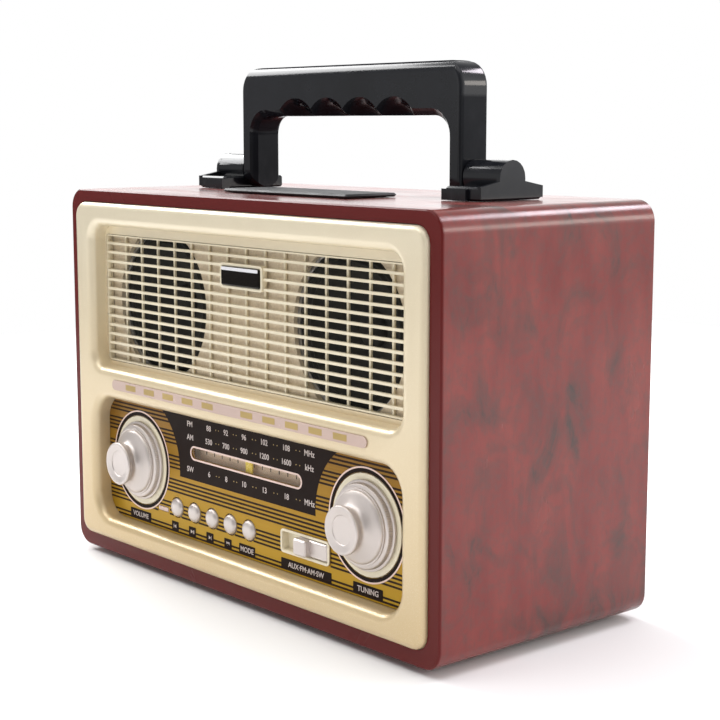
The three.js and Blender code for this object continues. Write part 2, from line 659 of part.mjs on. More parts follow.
// Components on the front of the main board; height is how far each one stands off it.
const COMPONENTS = [
  { name: 'reservoir capacitor', x: [-60, -44], z: [20, 36], height: 8 },
  { name: 'coupling capacitor', x: [-36, -26], z: [24, 34], height: 10 },
  { name: 'amplifier', x: [-10, 14], z: [40, 48], height: 3.4 },
  { name: 'output capacitor', x: [26, 38], z: [20, 32], height: 9 },
  { name: 'first filter can', x: [-52, -38], z: [54, 66], height: 5 },
  { name: 'second filter can', x: [-8, 2], z: [60, 70], height: 7 },
  { name: 'tuner', x: [20, 46], z: [56, 66], height: 5.5 },
];

// The board with its components and the two clips that hold the ferrite rod above it.
function mainBoard() {
  const front = BOARD.y[0];
  const parts = COMPONENTS.map(({ x, z, height }) => block(x, [front - height, front + 0.2], z));
  const { radius, y, z, clip } = ROD_AERIAL;
  const reach = radius + 2.2;
  const clips = [-clip, clip].map((x) => block([x - 4, x + 4], [y - reach, y + reach],
    [BOARD.z[1] - 2, z + reach]));
  const bore = rod(radius + GAP, [-2 * clip, 2 * clip], 16, 'x', [0, y, z]);
  return joined(block(BOARD.x, BOARD.y, BOARD.z), ...parts, ...clips).subtract(bore);
}

// Iron core, taped winding and a foot with fixing lugs, standing on the cabinet's floor.
function transformer() {
  const { x, y, top } = TRANSFORMER;
  const floor = CABINET.wall + GAP;
  const core = block(x, y, [floor, top]);
  const winding = plate(rectShape([x[0] + 8, x[1] - 8], [floor + 5.7, top - 5], 5),
    [y[0] - 8, y[1] + 8], { round: 2, steps: 1, curve: 1 });
  const lugs = block([x[0] - 8, x[1] + 8], [y[0] + 2, y[1] - 2], [floor, floor + 2]);
  return joined(core, winding, lugs);
}

// The ferrite rod with its tuning coil wound near one end.
function ferriteAerial() {
  const { radius, half, y, z } = ROD_AERIAL;
  const centre = [0, y, z];
  const coil = rod(radius + 1.6, [-0.5 * half, -0.1 * half], 16, 'x', centre);
  return rod(radius, [-half, half], 16, 'x', centre).add(coil);
}

add('main_board', BOARD_GREEN, mainBoard());
add('ferrite_aerial', FERRITE, ferriteAerial());
add('mains_transformer', STEEL, transformer());

// ---------------------------------------------------------------- handle

// An arch with rounded outer edges, a chamfered hand opening and finger scoops in the front.
function handle() {
  const { halfWidth, arm, y, top, grip, corner, edge, roll } = HANDLE;
  const { corner: hole, chamfer } = HAND_HOLE;
  const inner = halfWidth - arm;
  const foot0 = PIVOT.z - 12;
  const arch = new THREE.Shape();
  arch.moveTo(-halfWidth, foot0);
  arch.lineTo(-inner, foot0);
  arch.lineTo(-inner, grip - hole);
  arch.absarc(-inner + hole, grip - hole, hole, Math.PI, Math.PI / 2, true);
  arch.lineTo(inner - hole, grip);
  arch.absarc(inner - hole, grip - hole, hole, Math.PI / 2, 0, true);
  arch.lineTo(inner, foot0);
  arch.lineTo(halfWidth, foot0);
  arch.lineTo(halfWidth, top - corner);
  arch.absarc(halfWidth - corner, top - corner, corner, 0, Math.PI / 2, false);
  arch.lineTo(-halfWidth + corner, top);
  arch.absarc(-halfWidth + corner, top - corner, corner, Math.PI / 2, Math.PI, false);
  arch.lineTo(-halfWidth, foot0);
  const front = plate(arch, y, { round: edge, steps: 3, curve: 4 });
  const half = (y[1] - y[0]) / 2;
  const side = new THREE.Shape();
  side.absarc(PIVOT.y, PIVOT.z, half, Math.PI, 2 * Math.PI, false);
  side.lineTo(y[1], top - roll);
  side.absarc(y[1] - roll, top - roll, roll, 0, Math.PI / 2, false);
  side.lineTo(y[0] + roll, top);
  side.absarc(y[0] + roll, top - roll, roll, Math.PI / 2, Math.PI, false);
  const mouth = rectShape([-inner - chamfer, inner + chamfer], [foot0 - 20, grip + chamfer],
    hole + chamfer);
  let body = front.intersect(profileAlongX(side, [-100, 100], { curve: 8 }))
    .subtract(plate(mouth, [y[0] - 10, y[0] + chamfer], { round: chamfer, steps: 1, curve: 6 }));
  const { radius, depth } = SCOOP;
  const bowl = [[0, y[0] - 10], [radius, y[0] - 10], [radius, y[0]],
    [radius - chamfer, y[0] + chamfer], [radius - chamfer - 0.8, y[0] + depth - 4],
    [radius - chamfer - 4, y[0] + depth - 1], [0, y[0] + depth]];
  for (let i = 0; i < SCOOP.count; i += 1) {
    const x = (i - (SCOOP.count - 1) / 2) * SCOOP.pitch;
    body = body.subtract(turned(bowl, 36, 'y', [x, 0, SCOOP.top - radius]));
  }
  for (const sign of [-1, 1]) {
    const start = sign < 0 ? [-halfWidth - 2, -inner - 2.5] : [inner + 2.5, halfWidth + 2];
    body = body.subtract(rod(PIVOT.pin + RUNNING, start, 16, 'x', [0, PIVOT.y, PIVOT.z]));
  }
  return body;
}

// Foot plate with an upright ear and the barrel that the handle's arm turns against.
function bracket() {
  const [x0, x1] = BRACKET.x;
  const [y0, y1] = BRACKET.y;
  const z0 = CABINET.height + GAP;
  const shoulder = CABINET.height + BRACKET.height;
  const base = slab(rectShape([x0, x1], [y0, y1], 2), [z0, shoulder], { round: 0.8 });
  const ear = new THREE.Shape();
  ear.moveTo(y0, z0 + 0.8);
  ear.lineTo(y1, z0 + 0.8);
  ear.lineTo(y1, shoulder);
  ear.lineTo(PIVOT.y + PIVOT.barrel, shoulder + BRACKET.eave);
  ear.absarc(PIVOT.y, PIVOT.z, PIVOT.barrel, 0, Math.PI, false);
  ear.lineTo(PIVOT.y - PIVOT.barrel, shoulder + BRACKET.eave);
  ear.lineTo(y0, shoulder);
  const upright = profileAlongX(ear, [x1 - BRACKET.ear, x1], { curve: 5 });
  const barrel = rod(PIVOT.barrel - 0.05, [x0, x1 - 0.5], 24, 'x', [0, PIVOT.y, PIVOT.z]);
  const boss = block([x0, 92], [y0 - 1.5, y0 + 3], [z0, shoulder - 1]);
  const web = block([x0 + 3, x1 - 1], [PIVOT.y - 5, PIVOT.y + 5], [shoulder - 1, PIVOT.z - 3]);
  return joined(base, upright, barrel, boss, web)
    .subtract(rod(PIVOT.pin + RUNNING, [x0 - 5, x1 - 0.8], 16, 'x', [0, PIVOT.y, PIVOT.z]));
}

function mirrored(shape) {
  return shape.mirror([1, 0, 0]);
}

function pivotPin() {
  return rod(PIVOT.pin, [HANDLE.halfWidth - HANDLE.arm + 2.8, BRACKET.x[1] - 1.1], 16, 'x',
    [0, PIVOT.y, PIVOT.z]);
}

function topPlate() {
  const x = [-TOP_PLATE.halfWidth, TOP_PLATE.halfWidth];
  return slab(rectShape(x, TOP_PLATE.y, 1.5),
    [CABINET.height + GAP, CABINET.height + TOP_PLATE.height], { round: 0.8 });
}

add('handle', BLACK_GLOSS, handle());
add('right_handle_bracket', BLACK_GLOSS, bracket());
add('left_handle_bracket', BLACK_GLOSS, mirrored(bracket()));
add('right_handle_pin', STEEL, pivotPin());
add('left_handle_pin', STEEL, mirrored(pivotPin()));
add('top_plate', BLACK_MATT, topPlate());

// ---------------------------------------------------------------- back of the cabinet

// A flat back with the battery bay's box, air vents, a seat for the mains inlet, the aerial's
// bearing hole and the open cradle that holds the folded mast.
function rearCover() {
  const half = PANEL.halfWidth;
  const through = [REAR.y[0] - 9, REAR.y[1] + 8];
  let cover = plate(rectShape([-half, half], PANEL.z, PANEL.corner), REAR.y);
  const { halfWidth, z, front, wall } = BATTERY_BAY;
  cover = cover.add(block([-halfWidth, halfWidth], [front, REAR.y[0] + 1], z));
  cover = cover.subtract(block([-halfWidth + wall, halfWidth - wall],
    [front + wall, through[1]], [z[0] + wall, z[1] - wall]));
  for (let row = 0; row < VENT.rows; row += 1) {
    for (const [, sign] of SIDES) {
      const x = [sign * SPEAKER.x - VENT.width / 2, sign * SPEAKER.x + VENT.width / 2];
      const low = VENT.low + row * VENT.pitch;
      cover = cover.subtract(block(x, through, [low, low + VENT.height]));
    }
  }
  cover = cover.subtract(plate(rectShape([INLET.x - INLET.halfWidth, INLET.x + INLET.halfWidth],
    [INLET.z - INLET.halfHeight, INLET.z + INLET.halfHeight], 3), through));
  cover = cover.subtract(rod(AERIAL.post + RUNNING, through, 20, 'y', [AERIAL.x, 0, AERIAL.z]));
  const shank = SCREW.shank + GAP;
  const head = SCREW.head + 0.4;
  const sink = [[0, through[0]], [shank, through[0]], [shank, SCREW.seat], [head, SCREW.seat],
    [head, through[1]], [0, through[1]]];
  for (const [, sign] of SIDES) {
    for (const screwZ of REAR.screwZ) {
      cover = cover.subtract(turned(sink, 12, 'y', [sign * REAR.screwX, 0, screwZ]));
    }
  }
  const cradle = block([-84, -79], [REAR.y[1] - 0.5, AERIAL.y + 1.2], [AERIAL.z - 6, AERIAL.z]);
  const mastSeat = rod(AERIAL.outer + GAP, [-95, -70], 16, 'x', [0, AERIAL.y, AERIAL.z]);
  return cover.add(cradle.subtract(mastSeat));
}

function batteryDoor() {
  const half = BAY_DOOR.halfWidth - GAP;
  const panel = plate(rectShape([-half, half], [BAY_DOOR.z[0] + GAP, BAY_DOOR.z[1] - GAP], 0.5),
    BAY_DOOR.y, { curve: 1 });
  const grips = [-6, -3, 0, 3, 6].map((x) => block([x - 0.6, x + 0.6],
    [BAY_DOOR.y[1] - 0.7, BAY_DOOR.y[1] + 0.3], BAY_DOOR.grips));
  return joined(panel, ...grips);
}

function dryCell() {
  const { radius, length, cap, y } = CELL;
  const half = length / 2;
  return turned([
    [0, -half], [radius - 2.6, -half], [radius, -half + 1], [radius, half - 3],
    [radius - 1.5, half - 1.8], [cap, half - 1.8], [cap, half], [0, half],
  ], 18, 'x', [0, y, (BATTERY_BAY.z[0] + BATTERY_BAY.z[1]) / 2]);
}

// A two-pole mains socket: a moulded body, an oval recess and two contact pins.
function mainsInlet() {
  const { x, z, halfWidth, halfHeight } = INLET;
  const around = (inset) => [[x - halfWidth + inset, x + halfWidth - inset],
    [z - halfHeight + inset, z + halfHeight - inset]];
  const body = plate(rectShape(...around(GAP), 2.8), [104, REAR.y[1]]);
  const recess = plate(rectShape(...around(2.7), 3.7), [108, REAR.y[1] + 8], { curve: 3 });
  const pins = [-3.3, 3.3].map((off) => rod(1.15, [106, 119.5], 8, 'y', [x + off, 0, z]));
  return joined(body.subtract(recess), ...pins);
}

function coverScrew() {
  const { shank, head, seat } = SCREW;
  const screw = turned([
    [0, 106], [shank, 106], [shank, seat + 0.1], [head, seat + 0.1], [head, seat + 0.8],
    [head - 0.8, seat + 1.3], [0, seat + 1.4],
  ], 12, 'y', [0, 0, 0]);
  const driveDepth = [seat + 0.7, seat + 5];
  const drive = joined(block([-2, 2], driveDepth, [-0.4, 0.4]),
    block([-0.4, 0.4], driveDepth, [-2, 2]));
  return screw.subtract(drive);
}

// A post that turns in the cover, with a collar and two cheeks that hold the mast's eye.
function aerialSwivel() {
  const collar = [REAR.y[1] + GAP, REAR.y[1] + GAP + 2];
  const post = turned([
    [0, REAR.y[0] - 7], [AERIAL.post, REAR.y[0] - 7], [AERIAL.post, collar[0]],
    [AERIAL.post + 2.5, collar[0]], [AERIAL.post + 2.5, collar[1]], [0, collar[1]],
  ], 20, 'y', [0, 0, 0]);
  const depth = [collar[1] - 0.2, AERIAL.y + 3.1];
  const cheeks = joined(...SIDES.map(([, sign]) => block([-4.4, 4.4], depth,
    sign < 0 ? [-4.6, -2.2] : [2.2, 4.6])));
  const round = rod(5.2, [-10, 10], 20, 'z', [0, AERIAL.y - 1.3, 0]);
  const stub = block([-5, 5], [depth[0] - 1, AERIAL.y - 1.5], [-10, 10]);
  const pin = rod(AERIAL.pin, [-2.4, 2.4], 12, 'z', [0, AERIAL.y, 0]);
  return joined(post, cheeks.intersect(round.add(stub)), pin);
}

function aerialOuter() {
  const eye = rod(3, [-2, 2], 16, 'z', [0, 0, 0]);
  const neck = block([-9, -1.6], [-1.9, 1.9], [-2, 2]);
  const tube = rod(AERIAL.outer, [-AERIAL.length, -8], 16, 'x', [0, 0, 0]);
  const bore = rod(AERIAL.inner + RUNNING, [-AERIAL.length - 5, -14], 16, 'x', [0, 0, 0]);
  const pinHole = rod(AERIAL.pin + RUNNING, [-5, 5], 12, 'z', [0, 0, 0]);
  return joined(eye, neck, tube).subtract(bore).subtract(pinHole);
}

function aerialInner() {
  const rodPart = rod(AERIAL.inner, [-AERIAL.length - 1, -18], 16, 'x', [0, 0, 0]);
  const tip = turned([
    [0, -AERIAL.length - 6], [2.2, -AERIAL.length - 6], [3, -AERIAL.length - 5.2],
    [3, -AERIAL.length - 0.6], [0, -AERIAL.length - 0.6],
  ], 16, 'x', [0, 0, 0]);
  return rodPart.add(tip);
}

add('rear_cover', BLACK_MATT, rearCover());
add('battery_door', BLACK_MATT, batteryDoor());
for (const [side, sign] of SIDES) {
  add(`${side}_cell`, CELL_JACKET, dryCell(), [sign * (CELL.length + 1) / 2, 0, 0]);
}
add('mains_inlet', BLACK_GLOSS, mainsInlet());
for (const [side, sign] of SIDES) {
  add(`cover_screw_low_${side}`, STEEL, coverScrew(), [sign * REAR.screwX, 0, REAR.screwZ[0]]);
  add(`cover_screw_high_${side}`, STEEL, coverScrew(), [sign * REAR.screwX, 0, REAR.screwZ[1]]);
}
add('aerial_swivel', CHROME, aerialSwivel(), [AERIAL.x, 0, AERIAL.z]);
add('aerial_outer', CHROME, aerialOuter(), [AERIAL.x, AERIAL.y, AERIAL.z]);
add('aerial_inner', CHROME, aerialInner(), [AERIAL.x, AERIAL.y, AERIAL.z]);

export default radio;
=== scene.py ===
import json
import math

import bmesh
import bpy
from mathutils import Matrix, Vector


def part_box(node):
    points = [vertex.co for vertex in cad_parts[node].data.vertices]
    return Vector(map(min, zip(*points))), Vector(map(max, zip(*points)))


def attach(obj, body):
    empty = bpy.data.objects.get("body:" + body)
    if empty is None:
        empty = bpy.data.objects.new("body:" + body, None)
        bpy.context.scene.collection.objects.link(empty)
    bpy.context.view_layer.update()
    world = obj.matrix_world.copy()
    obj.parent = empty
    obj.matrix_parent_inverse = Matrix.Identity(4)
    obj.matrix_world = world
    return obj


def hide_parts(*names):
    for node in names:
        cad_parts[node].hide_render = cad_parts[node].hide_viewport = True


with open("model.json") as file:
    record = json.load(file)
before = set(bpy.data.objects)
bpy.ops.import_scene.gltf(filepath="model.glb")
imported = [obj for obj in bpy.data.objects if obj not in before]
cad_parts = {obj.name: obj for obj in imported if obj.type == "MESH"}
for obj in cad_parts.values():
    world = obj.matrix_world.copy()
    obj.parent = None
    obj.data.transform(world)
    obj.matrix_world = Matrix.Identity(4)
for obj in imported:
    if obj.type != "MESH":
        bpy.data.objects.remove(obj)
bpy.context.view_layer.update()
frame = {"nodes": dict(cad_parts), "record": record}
NODES = frame["nodes"]
MM = 0.001

# ------------------------------------------------------------------ camera

CAMERA_PLACE = Vector((0.56112, -0.46575, 0.21229))
CAMERA_AIM = Vector((0.08642, -0.06195, 0.1202))
CAMERA_LENS = 79.83


def make_camera():
    data = bpy.data.cameras.new("camera")
    data.lens = CAMERA_LENS
    data.sensor_width = 36
    data.clip_start = 0.01
    camera = bpy.data.objects.new("camera", data)
    camera.location = CAMERA_PLACE
    camera.rotation_euler = (CAMERA_AIM - CAMERA_PLACE).to_track_quat("-Z", "Y").to_euler()
    bpy.context.scene.collection.objects.link(camera)
    bpy.context.scene.camera = camera


# ------------------------------------------------------------------ material graphs


class Graph:
    """A node tree. Its methods add nodes and return an output socket."""

    def __init__(self, tree, coordinate):
        self.tree = tree
        self.place = self.add("ShaderNodeTexCoord").outputs[coordinate]
        split = self.add("ShaderNodeSeparateXYZ", {"Vector": self.place})
        self.x, self.y, self.z = split.outputs

    def add(self, kind, inputs=None, **settings):
        node = self.tree.nodes.new(kind)
        for name, value in settings.items():
            setattr(node, name, value)
        for name, value in (inputs or {}).items():
            self.feed(node.inputs[name], value)
        return node

    def feed(self, socket, value):
        if isinstance(value, bpy.types.NodeSocket):
            self.tree.links.new(value, socket)
        else:
            socket.default_value = value

    def math(self, operation, *values, clamp=False):
        node = self.add("ShaderNodeMath", operation=operation, use_clamp=clamp)
        for socket, value in zip(node.inputs, values):
            self.feed(socket, value)
        return node.outputs[0]

    def vector(self, x, y, z):
        return self.add("ShaderNodeCombineXYZ", {"X": x, "Y": y, "Z": z}).outputs[0]

    def stretched(self, place, factors):
        node = self.add("ShaderNodeVectorMath", operation="MULTIPLY")
        self.feed(node.inputs[0], place)
        self.feed(node.inputs[1], factors)
        return node.outputs[0]

    def noise(self, scale, detail=3.0, roughness=0.5, distortion=0.0, place=None):
        node = self.add("ShaderNodeTexNoise", {
            "Vector": place or self.place, "Scale": scale, "Detail": detail,
            "Roughness": roughness, "Distortion": distortion})
        return node.outputs["Fac"]

    def ramp(self, value, stops):
        node = self.add("ShaderNodeValToRGB", {"Fac": value})
        elements = node.color_ramp.elements
        while len(elements) < len(stops):
            elements.new(0.5)
        for element, (position, colour) in zip(elements, stops):
            element.position = position
            element.color = (*colour, 1)
        return node.outputs["Color"]

    def remap(self, value, low, high, out_low=0.0, out_high=1.0):
        return self.add("ShaderNodeMapRange", {
            "Value": value, "From Min": low, "From Max": high,
            "To Min": out_low, "To Max": out_high}).outputs["Result"]

    def mix(self, factor, a, b):
        """A blend of two colours, from a at factor 0 to b at factor 1."""
        node = self.add("ShaderNodeMix", data_type="RGBA")
        self.feed(node.inputs[0], factor)
        for socket, colour in zip(node.inputs[6:8], (a, b)):
            self.feed(socket, (*colour, 1) if isinstance(colour, tuple) else colour)
        return node.outputs[2]


class Surface(Graph):
    """The node tree of one material, laid out in the frame's own coordinates in metres."""

    def __init__(self, name):
        self.material = bpy.data.materials.new(name)
        self.material.use_nodes = True
        super().__init__(self.material.node_tree, "Object")
        self.shader = self.tree.nodes["Principled BSDF"]

    def set(self, **values):
        for name, value in values.items():
            self.feed(self.shader.inputs[name.replace("_", " ")], value)

    def edges(self):
        """About 1 on worn convex edges and 0 on flats."""
        pointiness = self.add("ShaderNodeNewGeometry").outputs["Pointiness"]
        return self.remap(pointiness, 0.52, 0.6)

    def bump(self, height, distance):
        node = self.add("ShaderNodeBump", {"Height": height, "Distance": distance,
                                           "Strength": 1.0})
        self.feed(self.shader.inputs["Normal"], node.outputs[0])


def shade(colour, factor):
    return tuple(min(1.0, c * factor) for c in colour)


def moulded(name, colour, roughness, tone=0.08, texture=0.01, cell=700, metallic=0.0,
            coat=0.0, gloss=0.5, wear=None):
    """Moulded or painted plastic: slow drift of tone, fine surface texture and worn edges.

    The texture is the height in mm of the fine grain. The gloss is the specular level, as a
    number or as a function of the graph.
    """
    g = Surface(name)
    drift = g.noise(28, detail=4)
    tint = g.ramp(drift, [(0.3, shade(colour, 1 - tone)), (0.7, shade(colour, 1 + tone))])
    fine = g.noise(cell, detail=2)
    scuffs = g.noise(140, detail=5)
    if wear:
        worn = g.math("MULTIPLY", g.edges(), g.remap(scuffs, 0.45, 0.7), clamp=True)
        tint = g.mix(worn, tint, wear)
    g.set(Base_Color=tint, Metallic=metallic, Coat_Weight=coat, Coat_Roughness=0.08)
    g.set(Specular_IOR_Level=gloss(g) if callable(gloss) else gloss)
    g.set(Roughness=g.remap(scuffs, 0.3, 0.75, roughness * 0.92, roughness * 1.12))
    g.bump(fine, texture * MM)
    return g.material


BLACK_SHINE = 0.3


def black_moulding(name, gloss=BLACK_SHINE):
    return moulded(name, (0.010, 0.011, 0.014), 0.12, tone=0.3, texture=0.002, cell=900,
                   gloss=gloss, wear=(0.03, 0.03, 0.035))


# Bands where the handle's gloss is cut as painted shade: along the crown, and inside the grip away
# from its front and back faces.
PAINTED_SHADE_SKIN = (0.8 * MM, 1.4 * MM)
PAINTED_SHADE_CROWN = (0.6 * MM, 1.6 * MM)
PAINTED_SHADE_BELOW = (14 * MM, 15.5 * MM)
PAINTED_SHADE_INSIDE = 0.75


def gloss_with_painted_shade(g):
    """The handle's gloss, lower along its crown and inside the grip as painted shade: the cut
    gloss darkens the reflections there.
    """
    low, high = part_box("handle")
    crown = g.remap(g.z, high.z - PAINTED_SHADE_CROWN[1], high.z - PAINTED_SHADE_CROWN[0])
    behind_front = g.remap(g.y, low.y + PAINTED_SHADE_SKIN[0], low.y + PAINTED_SHADE_SKIN[1])
    before_back = g.remap(g.y, high.y - PAINTED_SHADE_SKIN[1], high.y - PAINTED_SHADE_SKIN[0], 1.0, 0.0)
    below_grip = g.remap(g.z, high.z - PAINTED_SHADE_BELOW[1], high.z - PAINTED_SHADE_BELOW[0], 1.0, 0.0)
    inside = g.math("MULTIPLY", g.math("MULTIPLY", behind_front, before_back), below_grip)
    # Painted shade: this mask cuts the gloss fully on the crown and partly inside the grip.
    worn = g.math("MAXIMUM", crown, g.math("MULTIPLY", inside, PAINTED_SHADE_INSIDE))
    return g.remap(worn, 0.0, 1.0, BLACK_SHINE, 0.0)


WOOD_DEEP = (0.170, 0.033, 0.031)
WOOD_LIGHT = (0.232, 0.048, 0.041)
WOOD_SMOKE = (0.066, 0.043, 0.040)
# The front rim's deep red: partly its own colour, partly painted shade.
WOOD_RIM_SHADED = (0.115, 0.014, 0.013)
CABINET_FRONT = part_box("cabinet_shell")[0].y
RIM_FADE = (0.8 * MM, 1.6 * MM)


def wood_wrap():
    """Mahogany foil with smoky clouds, whose grain runs up the sides and on across the top.

    The front rim is a plain deep red with less gloss: partly its own paint, partly painted shade.
    """
    g = Surface("wood_wrap")
    around = g.math("SUBTRACT", g.math("ABSOLUTE", g.x), g.z)
    grain = g.vector(g.y, around, g.x)
    clouds = g.noise(1, detail=5, roughness=0.6, distortion=0.7,
                     place=g.stretched(grain, (52, 30, 9)))
    smoke = g.ramp(clouds, [(0.47, (0, 0, 0)), (0.58, (0.40, 0.40, 0.40)),
                            (0.70, (0.9, 0.9, 0.9))])
    flow = g.noise(1, detail=2, distortion=1.2, place=g.stretched(grain, (30, 14, 6)))
    contour = g.math("ABSOLUTE", g.math("SUBTRACT", flow, 0.52))
    veins = g.math("MULTIPLY", g.remap(contour, 0.0, 0.02, 0.4, 0.0), smoke)
    streaks = g.noise(1, detail=4, place=g.stretched(grain, (70, 22, 9)))
    mottle = g.noise(380, detail=3)
    fibres = g.noise(1, detail=3, place=g.stretched(grain, (1200, 120, 80)))
    red = g.ramp(streaks, [(0.3, WOOD_DEEP), (0.7, WOOD_LIGHT)])
    stained = g.mix(g.math("ADD", smoke, veins, clamp=True), red, WOOD_SMOKE)
    flecked = g.mix(g.remap(mottle, 0.45, 0.7, 0.0, 0.35), stained, shade(WOOD_SMOKE, 1.3))
    foil = g.mix(g.remap(fibres, 0.56, 0.72, 0.0, 0.22), flecked, WOOD_SMOKE)
    # Painted shade on the front rim, in part: a deeper red and a lower gloss than the foil.
    rim = g.remap(g.y, CABINET_FRONT + RIM_FADE[0], CABINET_FRONT + RIM_FADE[1], 1.0, 0.0)
    g.set(Base_Color=g.mix(rim, foil, WOOD_RIM_SHADED))
    g.set(Roughness=g.remap(streaks, 0.3, 0.7, 0.20, 0.28))
    g.set(Specular_IOR_Level=g.remap(rim, 0.0, 1.0, 0.34, 0.15))
    g.bump(fibres, 0.008 * MM)
    return g.material


def champagne():
    """Metallic champagne paint: fine flakes over a soft, slightly uneven coat, with painted light
    that makes it lighter towards the top.
    """
    g = Surface("champagne_moulding")
    flakes = g.noise(5200, detail=1)
    drift = g.noise(16, detail=3)
    # Painted light and shade: the tint is lighter towards the top and darker and yellower towards
    # the bottom, plus a slow random drift.
    lit_height_and_drift = g.math("ADD", g.remap(g.z, 0.02, 0.18, 0.0, 0.8), g.math("MULTIPLY", drift, 0.3))
    tint = g.ramp(lit_height_and_drift, [(0.1, (0.62, 0.465, 0.25)), (0.9, (0.79, 0.70, 0.52))])
    sparkle = g.remap(flakes, 0.62, 0.75, 0.0, 0.5)
    g.set(Base_Color=g.mix(sparkle, tint, (0.95, 0.87, 0.68)), Metallic=0.3)
    g.set(Roughness=g.remap(g.noise(220, detail=3), 0.3, 0.7, 0.30, 0.38))
    g.set(Coat_Weight=0.25, Coat_Roughness=0.15)
    g.bump(flakes, 0.004 * MM)
    return g.material


def dial_gold():
    """Printed gold foil of the dial, deeper amber towards its top edge."""
    g = Surface("dial_gold")
    low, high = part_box("dial_plate")
    height = g.remap(g.z, low.z, high.z)
    gold = g.ramp(height, [(0.0, (0.44, 0.26, 0.012)), (0.55, (0.34, 0.175, 0.009)),
                           (1.0, (0.19, 0.08, 0.006))])
    brushed = g.noise(1, detail=4, place=g.stretched(g.place, (40, 40, 3000)))
    g.set(Base_Color=g.mix(g.remap(brushed, 0.35, 0.65, 0.0, 0.12), gold, (0.52, 0.36, 0.05)))
    g.set(Metallic=0.45, Roughness=g.remap(brushed, 0.3, 0.7, 0.28, 0.38))
    g.set(Specular_IOR_Level=0.25)
    g.bump(brushed, 0.003 * MM)
    return g.material


CHROME = (0.76, 0.76, 0.77)
PEARL = (0.65, 0.59, 0.56)


def plated(name, colour=CHROME, roughness=0.24, centre=None, metallic=0.85):
    """Bright plating with faint turning marks about a centre line along Y, if one is given."""
    g = Surface(name)
    haze = g.noise(45, detail=4)
    tint = g.ramp(haze, [(0.3, shade(colour, 0.94)), (0.7, shade(colour, 1.03))])
    if centre:
        dx = g.math("SUBTRACT", g.x, centre[0])
        dz = g.math("SUBTRACT", g.z, centre[1])
        radius = g.math("SQRT", g.math("ADD", g.math("MULTIPLY", dx, dx),
                                       g.math("MULTIPLY", dz, dz)))
        marks = g.noise(1, detail=2, place=g.vector(g.math("MULTIPLY", radius, 5200), 0, 0))
    else:
        marks = g.noise(2600, detail=2)
    g.set(Base_Color=tint, Metallic=metallic)
    g.set(Roughness=g.remap(haze, 0.3, 0.75, roughness * 0.8, roughness * 1.3))
    g.bump(marks, 0.0015 * MM)
    return g.material


def pearl_plated(name, roughness=0.38, centre=None):
    """The satin, faintly pink plating of the controls."""
    return plated(name, PEARL, roughness, centre, metallic=0.6)


def clear_window():
    g = Surface("clear_window")
    smear = g.noise(60, detail=4)
    g.set(Base_Color=(0.90, 0.70, 0.56, 1), Alpha=g.remap(smear, 0.3, 0.7, 0.05, 0.09))
    g.set(Roughness=g.remap(smear, 0.3, 0.75, 0.05, 0.12))
    return g.material


def lamp_lens():
    g = Surface("lamp_lens")
    cloud = g.noise(500, detail=2)
    g.set(Base_Color=g.ramp(cloud, [(0.3, (0.80, 0.55, 0.48)), (0.7, (0.90, 0.68, 0.60))]))
    g.set(Transmission_Weight=0.25, Roughness=0.25, Coat_Weight=0.5)
    return g.material


def circuit_board():
    """Green solder resist with a faint net of copper tracks."""
    g = Surface("circuit_board")
    tracks = g.add("ShaderNodeTexVoronoi", {"Vector": g.place, "Scale": 130.0},
                   feature="DISTANCE_TO_EDGE").outputs["Distance"]
    line = g.remap(tracks, 0.02, 0.05, 1.0, 0.0)
    g.set(Base_Color=g.mix(line, (0.015, 0.11, 0.04), (0.04, 0.22, 0.08)))
    g.set(Roughness=g.remap(g.noise(300), 0.3, 0.7, 0.35, 0.5))
    g.bump(line, 0.03 * MM)
    return g.material


def paper_cone():
    g = Surface("paper_cone")
    pulp = g.noise(1400, detail=5, roughness=0.7)
    g.set(Base_Color=g.ramp(pulp, [(0.3, (0.008, 0.008, 0.006)), (0.7, (0.028, 0.027, 0.022))]))
    g.set(Roughness=g.remap(pulp, 0.3, 0.7, 0.75, 0.95))
    g.bump(pulp, 0.05 * MM)
    return g.material


def fibreboard():
    g = Surface("beige_board")
    fleck = g.noise(900, detail=4, roughness=0.7)
    g.set(Base_Color=g.ramp(fleck, [(0.3, (0.62, 0.52, 0.38)), (0.7, (0.78, 0.68, 0.53))]))
    g.set(Roughness=g.remap(fleck, 0.3, 0.7, 0.6, 0.85))
    g.bump(fleck, 0.03 * MM)
    return g.material


def woven_cord():
    g = Surface("cord")
    weave = g.add("ShaderNodeTexWave", {"Vector": g.place, "Scale": 900.0, "Distortion": 1.0},
                  bands_direction="DIAGONAL").outputs["Fac"]
    g.set(Base_Color=g.ramp(weave, [(0.2, (0.55, 0.53, 0.46)), (0.8, (0.85, 0.83, 0.76))]))
    g.set(Roughness=0.85)
    g.bump(weave, 0.05 * MM)
    return g.material


